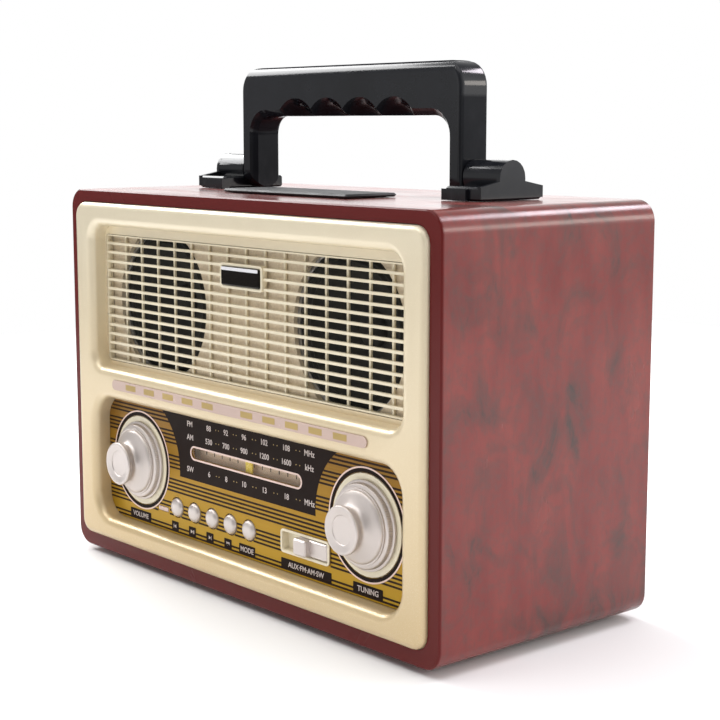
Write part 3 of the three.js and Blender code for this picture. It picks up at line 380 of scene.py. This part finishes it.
MATERIALS = {
    "wood_wrap": wood_wrap(),
    "champagne_moulding": champagne(),
    "cream_plastic": moulded("cream_plastic", (0.80, 0.72, 0.54), 0.34, tone=0.04, coat=0.2),
    "beige_board": fibreboard(),
    "black_gloss": black_moulding("black_gloss"),
    "black_matt": moulded("black_matt", (0.022, 0.022, 0.024), 0.55, tone=0.15, texture=0.06,
                          cell=1600, wear=(0.034, 0.034, 0.035)),
    "paper_cone": paper_cone(),
    "dial_gold": dial_gold(),
    "clear_window": clear_window(),
    "lamp_lens": lamp_lens(),
    "rose_print": moulded("rose_print", (0.54, 0.39, 0.33), 0.25, tone=0.04, coat=0.2),
    "pointer_yellow": moulded("pointer_yellow", (0.92, 0.70, 0.02), 0.4, tone=0.06),
    "chrome_trim": plated("chrome_trim"),
    "steel": plated("steel", colour=(0.55, 0.55, 0.56), roughness=0.38),
    "spun_can": plated("spun_can", colour=(0.70, 0.70, 0.72), roughness=0.30),
    "circuit_board": circuit_board(),
    "ferrite": moulded("ferrite", (0.045, 0.045, 0.05), 0.6, tone=0.25, texture=0.05),
    "cord": woven_cord(),
    "foot_rubber": moulded("foot_rubber", (0.018, 0.018, 0.018), 0.85, tone=0.2, texture=0.08,
                           cell=1200),
    "cell_jacket": moulded("cell_jacket", (0.04, 0.11, 0.30), 0.28, tone=0.1, metallic=0.4,
                           wear=(0.07, 0.16, 0.36)),
}
OWN_MATERIALS = {
    "handle": black_moulding("handle_gloss", gloss_with_painted_shade),
    "band_switch_cap": pearl_plated("band_switch_plating"),
    "grille_badge": moulded("badge_lacquer", (0.006, 0.004, 0.003), 0.1, tone=0.2, texture=0.002,
                            gloss=0.2),
}


def ink(name, colour, roughness, tone, metallic=0.0, gloss=0.5):
    return moulded("ink_" + name, colour, roughness, tone, 0.002, metallic=metallic, gloss=gloss)


# A bright film that paints the highlight on the top edge of the grille's badge.
INK_PAINTED_HIGHLIGHT = ink("painted_highlight", (0.80, 0.80, 0.84), 0.25, 0.04)
INK_BROWN = ink("brown", (0.024, 0.011, 0.006), 0.5, 0.12, gloss=0.1)
INK_BLACK = ink("black", (0.016, 0.009, 0.007), 0.4, 0.12, gloss=0.05)
INK_WHITE = ink("white", (0.60, 0.52, 0.49), 0.45, 0.05)
INK_ROSE = ink("rose", (0.82, 0.62, 0.55), 0.35, 0.05)
INK_GOLD = ink("gold", (0.42, 0.29, 0.09), 0.35, 0.08, metallic=0.2)
INK_SAND = ink("sand", (0.92, 0.71, 0.50), 0.5, 0.10)


# ------------------------------------------------------------------ CAD nodes

WELD = 0.002 * MM


def smoothing_group(angle):
    """Geometry nodes that weld a mesh and shade it smooth except over sharper angles."""
    group = bpy.data.node_groups.new("smooth_surfaces", "GeometryNodeTree")
    group.interface.new_socket("Geometry", in_out="INPUT", socket_type="NodeSocketGeometry")
    group.interface.new_socket("Geometry", in_out="OUTPUT", socket_type="NodeSocketGeometry")
    source = group.nodes.new("NodeGroupInput")
    weld = group.nodes.new("GeometryNodeMergeByDistance")
    weld.inputs["Distance"].default_value = WELD
    measure = group.nodes.new("GeometryNodeInputMeshEdgeAngle")
    sharper = group.nodes.new("FunctionNodeCompare")
    sharper.operation = "GREATER_THAN"
    sharper.inputs[1].default_value = math.radians(angle)
    store = group.nodes.new("GeometryNodeStoreNamedAttribute")
    store.data_type = "BOOLEAN"
    store.domain = "EDGE"
    store.inputs["Name"].default_value = "sharp_edge"
    smooth = group.nodes.new("GeometryNodeSetShadeSmooth")
    result = group.nodes.new("NodeGroupOutput")
    link = group.links.new
    link(source.outputs[0], weld.inputs["Geometry"])
    link(weld.outputs[0], store.inputs["Geometry"])
    link(measure.outputs["Unsigned Angle"], sharper.inputs[0])
    link(sharper.outputs[0], store.inputs["Value"])
    link(store.outputs[0], smooth.inputs["Geometry"])
    link(smooth.outputs[0], result.inputs[0])
    return group


SMOOTHING = smoothing_group(38)


def smoothed(obj, bevel=0.0):
    """Rounds the sharp edges by the bevel, if one is given, and shades curved faces smooth."""
    if bevel:
        weld = obj.modifiers.new("weld", "WELD")
        weld.merge_threshold = WELD
        planar = obj.modifiers.new("planar", "DECIMATE")
        planar.decimate_type = "DISSOLVE"
        planar.angle_limit = math.radians(0.5)
        rounding = obj.modifiers.new("rounding", "BEVEL")
        rounding.width = bevel
        rounding.segments = 2
        rounding.limit_method = "ANGLE"
        rounding.angle_limit = math.radians(40)
    obj.modifiers.new("smooth", "NODES").node_group = SMOOTHING
    weighted = obj.modifiers.new("weighted", "WEIGHTED_NORMAL")
    weighted.keep_sharp = True


# Widths in mm of the edge rounding of moulded pieces that the CAD leaves sharp.
CRISP = {
    "handle": 0.35, "left_handle_bracket": 0.35, "right_handle_bracket": 0.35,
    "top_plate": 0.25, "grille_badge": 0.2, "battery_door": 0.25, "band_switch_cap": 0.2,
}


def dress_cad_nodes():
    """Gives every CAD node its material and smooths it."""
    slots = {part["node"]: part["material_slot"] for part in frame["record"]["subparts"]}
    for name, node in NODES.items():
        for slot in node.material_slots:
            slot.link = "OBJECT"
            slot.material = OWN_MATERIALS.get(name, MATERIALS[slots[name]])
        smoothed(node, CRISP.get(name, 0.0) * MM)


# ------------------------------------------------------------------ new pieces


def piece(name, mesh, material, body):
    """A new object that rides on a body of the frame."""
    obj = bpy.data.objects.new(name, mesh)
    bpy.context.scene.collection.objects.link(obj)
    mesh.materials.clear()
    mesh.materials.append(material)
    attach(obj, body)
    return obj


def lathe(profile, centre, front, segments, radial=None):
    """A mesh turned about a line along Y.

    The profile lists (radius, depth behind the front) in mm from axis to axis. The function
    radial(row, angle) may add to a row's radius.
    """
    bm = bmesh.new()
    rings = []
    for row, (radius, depth) in enumerate(profile):
        y = front + depth * MM
        if radius == 0:
            rings.append([bm.verts.new((centre[0], y, centre[1]))])
            continue
        ring = []
        for i in range(segments):
            angle = 2 * math.pi * i / segments
            r = (radius + (radial(row, angle) if radial else 0)) * MM
            ring.append(bm.verts.new((centre[0] + r * math.cos(angle), y,
                                      centre[1] + r * math.sin(angle))))
        rings.append(ring)
    for a, b in zip(rings, rings[1:]):
        for i in range(segments):
            j = (i + 1) % segments
            if len(a) == 1:
                bm.faces.new((a[0], b[j], b[i]))
            elif len(b) == 1:
                bm.faces.new((a[i], a[j], b[0]))
            else:
                bm.faces.new((a[i], a[j], b[j], b[i]))
    bmesh.ops.recalc_face_normals(bm, faces=bm.faces)
    mesh = bpy.data.meshes.new("turned")
    bm.to_mesh(mesh)
    bm.free()
    return mesh


def middle(node):
    """Centre of a node's outline seen from the front, as (x, z)."""
    low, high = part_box(node)
    return (low.x + high.x) / 2, (low.z + high.z) / 2


KNOB_CAP = [(0, 1.4), (3.4, 1.35), (6.0, 1.15), (6.3, 0.8), (7.8, 0.5), (8.8, 0.1), (9.5, 0.0),
            (9.9, 0.15), (10.15, 0.5), (10.2, 1.0), (10.15, 1.6)]
KNOB_WAIST = [(9.8, 2.1), (9.2, 2.6), (8.85, 3.1), (8.7, 3.7), (8.75, 4.5), (9.1, 5.2),
              (9.8, 5.9)]
KNOB_BELL = [(10.7, 6.5), (11.8, 7.1), (12.8, 7.55), (13.6, 7.9), (14.6, 8.4), (15.1, 8.9),
             (15.25, 9.5), (15.9, 9.55), (16.0, 10.1), (16.9, 10.3), (17.35, 10.5)]
KNOB_GRIP = [(17.55, 10.9), (17.75, 12.0)]
KNOB_SKIRT = [(17.85, 12.35), (18.5, 12.45), (18.8, 12.6), (18.9, 12.85), (18.9, 13.4),
              (0, 13.4)]
KNOB_PROFILE = KNOB_CAP + KNOB_WAIST + KNOB_BELL + KNOB_GRIP + KNOB_SKIRT
KNURL_START = len(KNOB_CAP + KNOB_WAIST + KNOB_BELL)
KNURLED_ROWS = range(KNURL_START, KNURL_START + len(KNOB_GRIP))
KNURL_TEETH = 110
KNURL_DEPTH = 0.16


def knurl(row, angle):
    """How far the knurling stands out from a row of the knob, in mm."""
    return KNURL_DEPTH * math.cos(KNURL_TEETH * angle) if row in KNURLED_ROWS else 0


def make_knob(side):
    """A knob turned from one piece, with a knurled grip."""
    node = side + "_knob"
    centre = middle(node)
    mesh = lathe(KNOB_PROFILE, centre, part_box(node)[0].y, KNURL_TEETH * 4, knurl)
    material = pearl_plated(node + "_plating", centre=centre)
    knob = piece(node + "_turned", mesh, material, side)
    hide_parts(node)
    smoothed(knob)


BUTTON_DOME = [(0, 0), (1.4, 0.04), (2.5, 0.2), (3.4, 0.52), (4.0, 0.95), (4.4, 1.5),
               (4.58, 2.1), (4.6, 2.6), (4.6, 3.8)]
BUTTON_FLANGE = [(5.4, 3.8), (5.4, 4.6)]
BUTTON_STEM = [(1.6, 4.6), (1.6, 5.5), (0, 5.5)]
BUTTONS = range(1, 6)


def make_button(number):
    node = f"button_{number}"
    centre = middle(node)
    mesh = lathe(BUTTON_DOME + BUTTON_FLANGE + BUTTON_STEM, centre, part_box(node)[0].y, 72)
    material = pearl_plated(node + "_plating", 0.34, centre)
    cap = piece(node + "_cap", mesh, material, "push_" + node)
    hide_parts(node)
    smoothed(cap)


CONE_RADIUS = 28.4
SURROUND_WIDTH = 5.6
SURROUND_WAVES = 2
SURROUND_HEIGHT = 0.75
CONE_LIP = 0.6
CONE_DEPTH = 10.4
NECK_RADIUS = 8.8
DUST_CAP_RADIUS = 8.2
DUST_CAP_HEIGHT = 3.4
CONE_BACK = [(34.0, 1.6), (28.0, 3.2), (8.0, 13.4), (0, 13.6)]


def shares(steps):
    """Even steps from 0 to 1."""
    return [i / steps for i in range(steps + 1)]


def make_cone(side):
    """Paper cone with a corrugated surround and a domed dust cap, as one pressed shell."""
    node = side + "_speaker_cone"
    low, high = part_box(node)
    edge = (high.y - low.y) / MM * 0.02
    neck = CONE_LIP + CONE_DEPTH
    cap = [(DUST_CAP_RADIUS * math.cos(math.pi / 2 * t),
            neck - DUST_CAP_HEIGHT * math.sin(math.pi / 2 * t)) for t in shares(8)]
    flank = [(CONE_RADIUS - (CONE_RADIUS - NECK_RADIUS) * t, CONE_LIP + CONE_DEPTH * t ** 0.9)
             for t in shares(8)]
    surround = [(CONE_RADIUS + SURROUND_WIDTH * t,
                 edge + SURROUND_HEIGHT * (1 - math.cos(2 * SURROUND_WAVES * math.pi * t)) / 2)
                for t in shares(16)]
    front = [(0, neck - DUST_CAP_HEIGHT)] + cap[-2::-1] + flank[:0:-1] + surround
    mesh = lathe(front + CONE_BACK, middle(node), low.y, 96)
    cone = piece(node + "_pressed", mesh, MATERIALS["paper_cone"], "cabinet")
    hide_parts(node)
    smoothed(cone)


# ------------------------------------------------------------------ printing on the front

PRINT = 0.05 * MM
TYPE_SIZE = 10 * MM
TYPE_WEIGHT = 0.15 * MM


def circle(x, z, radius, sides=96):
    return [(x + radius * math.cos(2 * math.pi * i / sides),
             z + radius * math.sin(2 * math.pi * i / sides)) for i in range(sides)]


def rounded(x0, x1, z0, z1, radius, steps=8):
    """A closed loop round a rectangle with round corners."""
    loop = []
    for cx, cz, start in ((x1 - radius, z1 - radius, 0), (x0 + radius, z1 - radius, 90),
                          (x0 + radius, z0 + radius, 180), (x1 - radius, z0 + radius, 270)):
        for i in range(steps + 1):
            a = math.radians(start + 90 * i / steps)
            loop.append((cx + radius * math.cos(a), cz + radius * math.sin(a)))
    return loop


def block(x, z, width, height, corner):
    """A closed loop round a small rectangle centred on (x, z)."""
    return rounded(x - width / 2, x + width / 2, z - height / 2, z + height / 2, corner, 2)


def curve_mesh(curve, face_y, thickness):
    """The mesh of a flat curve stood upright with its front at face_y."""
    curve.extrude = thickness / 2
    holder = bpy.data.objects.new("curve", curve)
    bpy.context.scene.collection.objects.link(holder)
    graph = bpy.context.evaluated_depsgraph_get()
    mesh = bpy.data.meshes.new_from_object(holder.evaluated_get(graph))
    bpy.data.objects.remove(holder)
    upright = Matrix.Rotation(math.pi / 2, 4, "X")
    mesh.transform(Matrix.Translation((0, face_y + thickness / 2, 0)) @ upright)
    return mesh


def merged(meshes, name):
    """One mesh made of several."""
    bm = bmesh.new()
    for mesh in meshes:
        bm.from_mesh(mesh)
    bmesh.ops.remove_doubles(bm, verts=bm.verts, dist=0.001 * MM)
    result = bpy.data.meshes.new(name)
    bm.to_mesh(result)
    bm.free()
    return result


def film(name, loops, face_y, material, thickness=PRINT):
    """A thin printed layer with closed outlines of (x, z); an outline inside another is a hole."""
    curve = bpy.data.curves.new(name, "CURVE")
    curve.dimensions = "2D"
    curve.fill_mode = "BOTH"
    for loop in loops:
        spline = curve.splines.new("POLY")
        spline.points.add(len(loop) - 1)
        for point, (x, z) in zip(spline.points, loop):
            point.co = (x, z, 0, 1)
        spline.use_cyclic_u = True
    mesh = merged([curve_mesh(curve, face_y, thickness)], name)
    piece(name, mesh, material, "cabinet")


def word(text, x, z, height, face_y, width=1.0):
    """The mesh of one line of bold lettering of a given height, centred on (x, z)."""
    curve = bpy.data.curves.new("word", "FONT")
    curve.body = text
    curve.align_x = "CENTER"
    curve.size = TYPE_SIZE
    curve.offset = TYPE_WEIGHT
    curve.resolution_u = 4
    mesh = curve_mesh(curve, 0, PRINT)
    xs = [v.co.x for v in mesh.vertices]
    zs = [v.co.z for v in mesh.vertices]
    scale = height / (max(zs) - min(zs))
    for v in mesh.vertices:
        v.co.x = x + (v.co.x - (max(xs) + min(xs)) / 2) * scale * width
        v.co.z = z + (v.co.z - (max(zs) + min(zs)) / 2) * scale
        v.co.y += face_y
    return mesh


PLATE_LOW, PLATE_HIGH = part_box("dial_plate")
PLATE_CORNER = 11.7 * MM
PLATE_EDGE = 0.3 * MM
KNOBS = [middle("volume_knob"), middle("tuning_knob")]
KNOB_HOLE = 21.8 * MM
RING_BLACK = KNOB_HOLE + 1.6 * MM
RING_ROSE = RING_BLACK + 0.7 * MM
ZONE_RADIUS = RING_ROSE + 8.8 * MM
ZONE_BOTTOM = PLATE_LOW.z + 28.4 * MM
BUTTON_CLEAR = 5.2 * MM
LINE_PITCH = 1.86 * MM
LINE_WIDTH = 0.9 * MM
LINES_IN_GROUP = 4
LINE_GROUPS = [z * MM for z in (0.3, 11.6, 23.2, 34.55, 46.2, 55.9)]
LINE_LOWEST = PLATE_LOW.z + 0.6 * MM
LINE_HIGHEST = PLATE_HIGH.z - 0.5 * MM
SHORTEST_LINE = 0.5 * MM


def layer(height):
    """The front of a printed layer on the dial plate, lifted by so many thicknesses of print."""
    return PLATE_LOW.y - height * PRINT


def zone_outline():
    """The dark field between the knobs: square at the foot, hollowed round each knob."""
    loop = []
    for (x, z), sign in zip(reversed(KNOBS), (1, -1)):
        low = math.asin((ZONE_BOTTOM - z) / ZONE_RADIUS)
        high = math.asin((PLATE_HIGH.z - z) / ZONE_RADIUS)
        arc = [(x - sign * ZONE_RADIUS * math.cos(a), z + ZONE_RADIUS * math.sin(a))
               for a in (low + (high - low) * share for share in shares(24))]
        loop += arc if sign > 0 else arc[::-1]
    return loop


def chord(centre, radius, z):
    """The stretch of x that a circle covers at one height: a list of one span or none."""
    inside = radius ** 2 - (z - centre[1]) ** 2
    if inside <= 0:
        return []
    half = math.sqrt(inside)
    return [(centre[0] - half, centre[0] + half)]


def blocked_spans(z):
    """Stretches of x at one height that no printed line may cross."""
    spans = []
    for knob in KNOBS:
        spans += chord(knob, RING_BLACK, z)
    for number in BUTTONS:
        spans += chord(middle(f"button_{number}"), BUTTON_CLEAR, z)
    if z > ZONE_BOTTOM:
        reach = math.sqrt(max(0.0, ZONE_RADIUS ** 2 - (z - KNOBS[0][1]) ** 2))
        spans.append((KNOBS[0][0] + reach, KNOBS[1][0] - reach))
    for node in ("band_switch_bezel", "power_lamp"):
        low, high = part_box(node)
        if low.z < z < high.z:
            spans.append((low.x, high.x))
    return sorted(spans)


def plate_reach(z):
    """Half the dial plate's width at a height, less a hair at the edge."""
    half = PLATE_HIGH.x - PLATE_EDGE
    edge = min(z - PLATE_LOW.z, PLATE_HIGH.z - z)
    if edge >= PLATE_CORNER:
        return half
    drop = PLATE_CORNER - edge
    return half - PLATE_CORNER + math.sqrt(max(0.0, PLATE_CORNER ** 2 - drop ** 2))


def line_loops(z):
    """Outlines of one printed line, broken where something is in its way."""
    reach = plate_reach(z)
    start, loops = -reach, []
    for x0, x1 in blocked_spans(z) + [(reach, reach)]:
        if x0 - start > SHORTEST_LINE:
            half = LINE_WIDTH / 2
            loops.append([(start, z - half), (x0, z - half), (x0, z + half), (start, z + half)])
        start = max(start, x1)
    return loops


def print_lines():
    """The groups of fine dark lines across the whole dial."""
    loops = []
    for centre in LINE_GROUPS:
        for i in range(LINES_IN_GROUP):
            z = PLATE_LOW.z + centre + (i - (LINES_IN_GROUP - 1) / 2) * LINE_PITCH
            if LINE_LOWEST < z < LINE_HIGHEST:
                loops += line_loops(z)
    film("dial_lines", loops, layer(1), INK_BROWN)


WINDOW_LOW, WINDOW_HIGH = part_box("dial_window")
WINDOW_FLANGE = 1 * MM
WINDOW_RIM = 0.8 * MM
END_FLAT = 0.05 * MM


def print_fields():
    """The dark field between the knobs, the rose rim of the window and the rings of the knobs."""
    x1 = WINDOW_HIGH.x - WINDOW_FLANGE
    z0, z1 = WINDOW_LOW.z + WINDOW_FLANGE, WINDOW_HIGH.z - WINDOW_FLANGE
    end = (z1 - z0) / 2 - END_FLAT
    hole = rounded(-x1, x1, z0, z1, end)
    film("dial_field", [zone_outline(), hole], layer(1.4), INK_BLACK)
    outer = rounded(-x1 - WINDOW_RIM, x1 + WINDOW_RIM, z0 - WINDOW_RIM, z1 + WINDOW_RIM,
                    end + WINDOW_RIM)
    film("window_outline", [outer, hole], layer(4), INK_ROSE, 3 * PRINT)
    for (x, z), side in zip(KNOBS, ("volume", "tuning")):
        film(side + "_ring_black", [circle(x, z, RING_BLACK), circle(x, z, KNOB_HOLE)],
             layer(1.8), INK_BLACK)
        film(side + "_ring_rose", [circle(x, z, RING_ROSE), circle(x, z, RING_BLACK)],
             layer(2.2), INK_ROSE)


SCALE_COLUMNS = [x * MM for x in (-41.8, -26.7, -13.4, 0.3, 15.3, 31.0, 46.7)]
SCALE_ROWS = [
    (54.6 * MM, ["FM", "88", "92", "96", "102", "108", "MHz"]),
    (48.4 * MM, ["AM", "530", "700", "900", "1200", "1600", "kHz"]),
    (33.3 * MM, ["SW", "6", "8", "10", "13", "18", "MHz"]),
]
NUMBER_HEIGHT = 2.6 * MM
DOT_RADIUS = 0.28 * MM


def print_scales():
    """Three rows of station numbers with a pair of dots between neighbours."""
    face = layer(2.6)
    words, dots = [], []
    for row, texts in SCALE_ROWS:
        z = PLATE_LOW.z + row
        for x, text in zip(SCALE_COLUMNS, texts):
            words.append(word(text, x, z, NUMBER_HEIGHT, face))
        for x0, x1 in zip(SCALE_COLUMNS[1:-1], SCALE_COLUMNS[2:]):
            for share in (0.42, 0.58):
                dots.append(circle(x0 + (x1 - x0) * share, z, DOT_RADIUS, 8))
    piece("dial_numbers", merged(words, "dial_numbers"), INK_WHITE, "cabinet")
    film("dial_dots", dots, face, INK_GOLD)


BACKING_THICK = 1.2 * MM
CARD_CORNER = 0.5 * MM
STROKES = 13
STROKE_PITCH = 6.1 * MM
STROKE_WIDTH = 0.6 * MM
STROKE_HEIGHT = 1.8 * MM
STROKE_DROP = 0.3 * MM


def print_scale_card():
    """The sand-coloured card seen through the window, with a short stroke at each station."""
    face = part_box("scale_backing")[1].y - BACKING_THICK - PRINT
    card = rounded(WINDOW_LOW.x, WINDOW_HIGH.x, WINDOW_LOW.z, WINDOW_HIGH.z, CARD_CORNER, 2)
    film("scale_card", [card], face, INK_SAND)
    z = middle("dial_window")[1] - STROKE_DROP
    strokes = []
    for i in range(STROKES):
        x = (i - (STROKES - 1) / 2) * STROKE_PITCH
        strokes.append(block(x, z, STROKE_WIDTH, STROKE_HEIGHT, STROKE_WIDTH / 3))
    film("scale_strokes", strokes, face - PRINT, INK_BROWN)


LABEL_Z = PLATE_LOW.z + 3.6 * MM
LABEL_HEIGHT = 4.6 * MM
LABEL_CORNER = 0.3 * MM
LABEL_LETTER = 2.4 * MM
LETTER_WIDTH = 1.05
ICON_BOX = 5.6 * MM
ICON_SHIFT = 2 * MM
ICON_HALF = 0.9 * MM
BAR_HALF = 0.18
LOOP_ARROW = [(-1.4, 0.9), (1.4, 0.9), (1.4, -0.6), (-0.2, -0.6), (-0.2, -1.1), (-1.3, -0.3),
              (-0.2, 0.5), (-0.2, 0.0), (0.8, 0.0), (0.8, 0.4), (-1.4, 0.4)]


def bar(x):
    """An upright bar of a symbol, in units of half the symbol's height."""
    return [(x - BAR_HALF, -1), (x + BAR_HALF, -1), (x + BAR_HALF, 1), (x - BAR_HALF, 1)]


def triangle(tip, base):
    """A triangle of a symbol, in units of half the symbol's height."""
    return [(tip, 0), (base, -1), (base, 1)]


# The transport symbols of the first four buttons: back, play or pause, next and repeat.
ICONS = [
    [bar(-1.2), triangle(-0.9, 0.9)],
    [triangle(0.5, -1.3), bar(0.85), bar(1.5)],
    [triangle(0.9, -0.9), bar(1.2)],
    [LOOP_ARROW],
]


def print_labels():
    """The dark boxes under the controls, with the words and symbols in them."""
    bezel_low, bezel_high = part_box("band_switch_bezel")
    boxes = [
        (KNOBS[0][0] - 1.6 * MM, 18 * MM, "VOLUME"),
        (KNOBS[1][0] + 1 * MM, 18.6 * MM, "TUNING"),
        (middle("band_switch_bezel")[0], bezel_high.x - bezel_low.x + 1.4 * MM, "AUX·FM·AM·SW"),
        (middle("button_5")[0] - 1.6 * MM, 12 * MM, "MODE"),
    ]
    loops, words, symbols = [], [], []
    for x, width, text in boxes:
        loops.append(block(x, LABEL_Z, width, LABEL_HEIGHT, LABEL_CORNER))
        words.append(word(text, x, LABEL_Z, LABEL_LETTER, layer(3), LETTER_WIDTH))
    for number, icon in zip(BUTTONS, ICONS):
        x = middle(f"button_{number}")[0] - ICON_SHIFT
        loops.append(block(x, LABEL_Z, ICON_BOX, LABEL_HEIGHT, LABEL_CORNER))
        for shape in icon:
            symbols.append([(x + right * ICON_HALF, LABEL_Z + up * ICON_HALF)
                            for right, up in shape])
    film("label_boxes", loops, layer(2), INK_BLACK)
    film("label_symbols", symbols, layer(3), INK_WHITE)
    piece("label_words", merged(words, "label_words"), INK_WHITE, "cabinet")


STRIP_BLOCKS = 5
STRIP_START = 14.6 * MM
STRIP_PITCH = 15.75 * MM
STRIP_BLOCK_WIDTH = 8.6 * MM
STRIP_BLOCK_HEIGHT = 2.7 * MM
STRIP_BLOCK_CORNER = 0.25 * MM


def print_strip():
    """Plain gold blocks along the label strip, alike on both sides of its middle."""
    z = middle("label_strip")[1]
    loops = []
    for sign in (-1, 1):
        for i in range(STRIP_BLOCKS):
            x = sign * (STRIP_START + STRIP_PITCH * i)
            loops.append(block(x, z, STRIP_BLOCK_WIDTH, STRIP_BLOCK_HEIGHT, STRIP_BLOCK_CORNER))
    film("strip_blocks", loops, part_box("label_strip")[0].y - PRINT, INK_GOLD)


# Size and place of the painted highlight along the badge's top edge.
HIGHLIGHT_INSET = 0.7 * MM
HIGHLIGHT_DROP = 0.25 * MM
HIGHLIGHT_HEIGHT = 1.45 * MM
HIGHLIGHT_CORNER = 0.5 * MM
HIGHLIGHT_STANDS_OUT = 0.2 * MM
HIGHLIGHT_THICK = 0.3 * MM


def make_badge_highlight():
    """A painted highlight: a bright flat film along the top of the grille's badge, where its
    rounded top edge catches the light.
    """
    low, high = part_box("grille_badge")
    top = high.z - HIGHLIGHT_DROP
    edge = rounded(low.x + HIGHLIGHT_INSET, high.x - HIGHLIGHT_INSET, top - HIGHLIGHT_HEIGHT, top, HIGHLIGHT_CORNER, 4)
    film("badge_highlight", [edge], low.y - HIGHLIGHT_STANDS_OUT, INK_PAINTED_HIGHLIGHT, HIGHLIGHT_THICK)


# ------------------------------------------------------------------ studio

FLOOR_HALF = 0.9
SUN_STRENGTH = 1.35
SUN_SPREAD = 75
SUN_DIRECTION = (-0.08, -0.12, 1)
# Each softbox: name, place, aim, size, radiance and tint.
SOFTBOXES = [
    ("left", (-1.05, -0.02, 0.92), (0, 0, 1.1), (1.0, 0.74), 10, (1, 1, 1)),
    ("front_top", (-0.35, -0.75, 1.20), (0, 0, 0.1), (0.60, 0.50), 2.5, (1, 1, 1)),
    ("high_back", (0.32, 1.14, 1.18), (0.13, 0, 0.2), (0.48, 0.25), 20, (1.0, 0.92, 1.0)),
    ("low_back", (1.02, 1.05, 0.50), (0.13, 0, 0.2), (0.50, 0.32), 7, (1.0, 0.92, 0.84)),
]
ROOM = 0.22
# Each wall that stands out from the room: direction, sharpness and strength.
WALLS = [
    ((-0.68, 0.74, 0.10), 6, 1.6),
    ((0.80, 0.30, 0.25), 3, 1.3),
    ((0.68, 0.73, 0.08), 9, 0.9),
    ((-0.40, -0.90, 0.05), 8, 0.95),
]


def make_floor():
    bm = bmesh.new()
    bmesh.ops.create_grid(bm, x_segments=8, y_segments=8, size=FLOOR_HALF)
    mesh = bpy.data.meshes.new("floor")
    bm.to_mesh(mesh)
    bm.free()
    floor = bpy.data.objects.new("floor", mesh)
    bpy.context.scene.collection.objects.link(floor)
    g = Surface("floor")
    g.set(Base_Color=(0.92, 0.92, 0.92, 1), Roughness=0.9, Specular_IOR_Level=0.1)
    mesh.materials.append(g.material)


def softbox(name, place, aim, size, radiance, tint):
    """A rectangular lamp of an even radiance, seen in reflections but not by the camera."""
    data = bpy.data.lights.new(name, "AREA")
    data.shape = "RECTANGLE"
    data.size, data.size_y = size
    data.energy = radiance * math.pi * size[0] * size[1]
    data.color = tint
    light = bpy.data.objects.new(name, data)
    light.location = place
    light.rotation_euler = (Vector(aim) - Vector(place)).to_track_quat("-Z", "Y").to_euler()
    bpy.context.scene.collection.objects.link(light)


def make_sun():
    data = bpy.data.lights.new("overhead", "SUN")
    data.energy = SUN_STRENGTH
    data.angle = math.radians(SUN_SPREAD)
    sun = bpy.data.objects.new("overhead", data)
    sun.rotation_euler = Vector(SUN_DIRECTION).to_track_quat("Z", "Y").to_euler()
    bpy.context.scene.collection.objects.link(sun)


def wall(g, direction, sharpness, strength):
    """The glow of one wall of the room, brightest in its own direction."""
    facing = g.add("ShaderNodeVectorMath", operation="DOT_PRODUCT")
    g.feed(facing.inputs[0], g.place)
    facing.inputs[1].default_value = Vector(direction).normalized()
    lobe = g.math("POWER", g.math("MAXIMUM", facing.outputs["Value"], 0.0), sharpness)
    return g.math("MULTIPLY", lobe, strength)


def make_world():
    """A white backdrop for the camera and, for everything else, a room whose walls differ."""
    world = bpy.data.worlds.new("studio")
    world.use_nodes = True
    bpy.context.scene.world = world
    g = Graph(world.node_tree, "Generated")
    light = ROOM
    for direction, sharpness, strength in WALLS:
        light = g.math("ADD", light, wall(g, direction, sharpness, strength))
    light = g.math("MULTIPLY", light, g.remap(g.z, -0.14, -0.02, 0.15, 1.0))
    seen = g.add("ShaderNodeLightPath").outputs["Is Camera Ray"]
    unseen = g.math("SUBTRACT", 1.0, seen)
    strength = g.math("ADD", seen, g.math("MULTIPLY", unseen, light))
    background = g.tree.nodes["Background"]
    background.inputs["Color"].default_value = (1, 1, 1, 1)
    g.feed(background.inputs["Strength"], strength)


def make_studio():
    make_world()
    make_floor()
    make_sun()
    for lamp in SOFTBOXES:
        softbox(*lamp)
    bpy.context.scene.view_settings.view_transform = "Standard"


make_camera()
dress_cad_nodes()
for knob_side in ("volume", "tuning"):
    make_knob(knob_side)
for button_number in BUTTONS:
    make_button(button_number)
for speaker_side in ("left", "right"):
    make_cone(speaker_side)
print_lines()
print_fields()
print_scales()
print_scale_card()
print_labels()
print_strip()
make_badge_highlight()
make_studio()
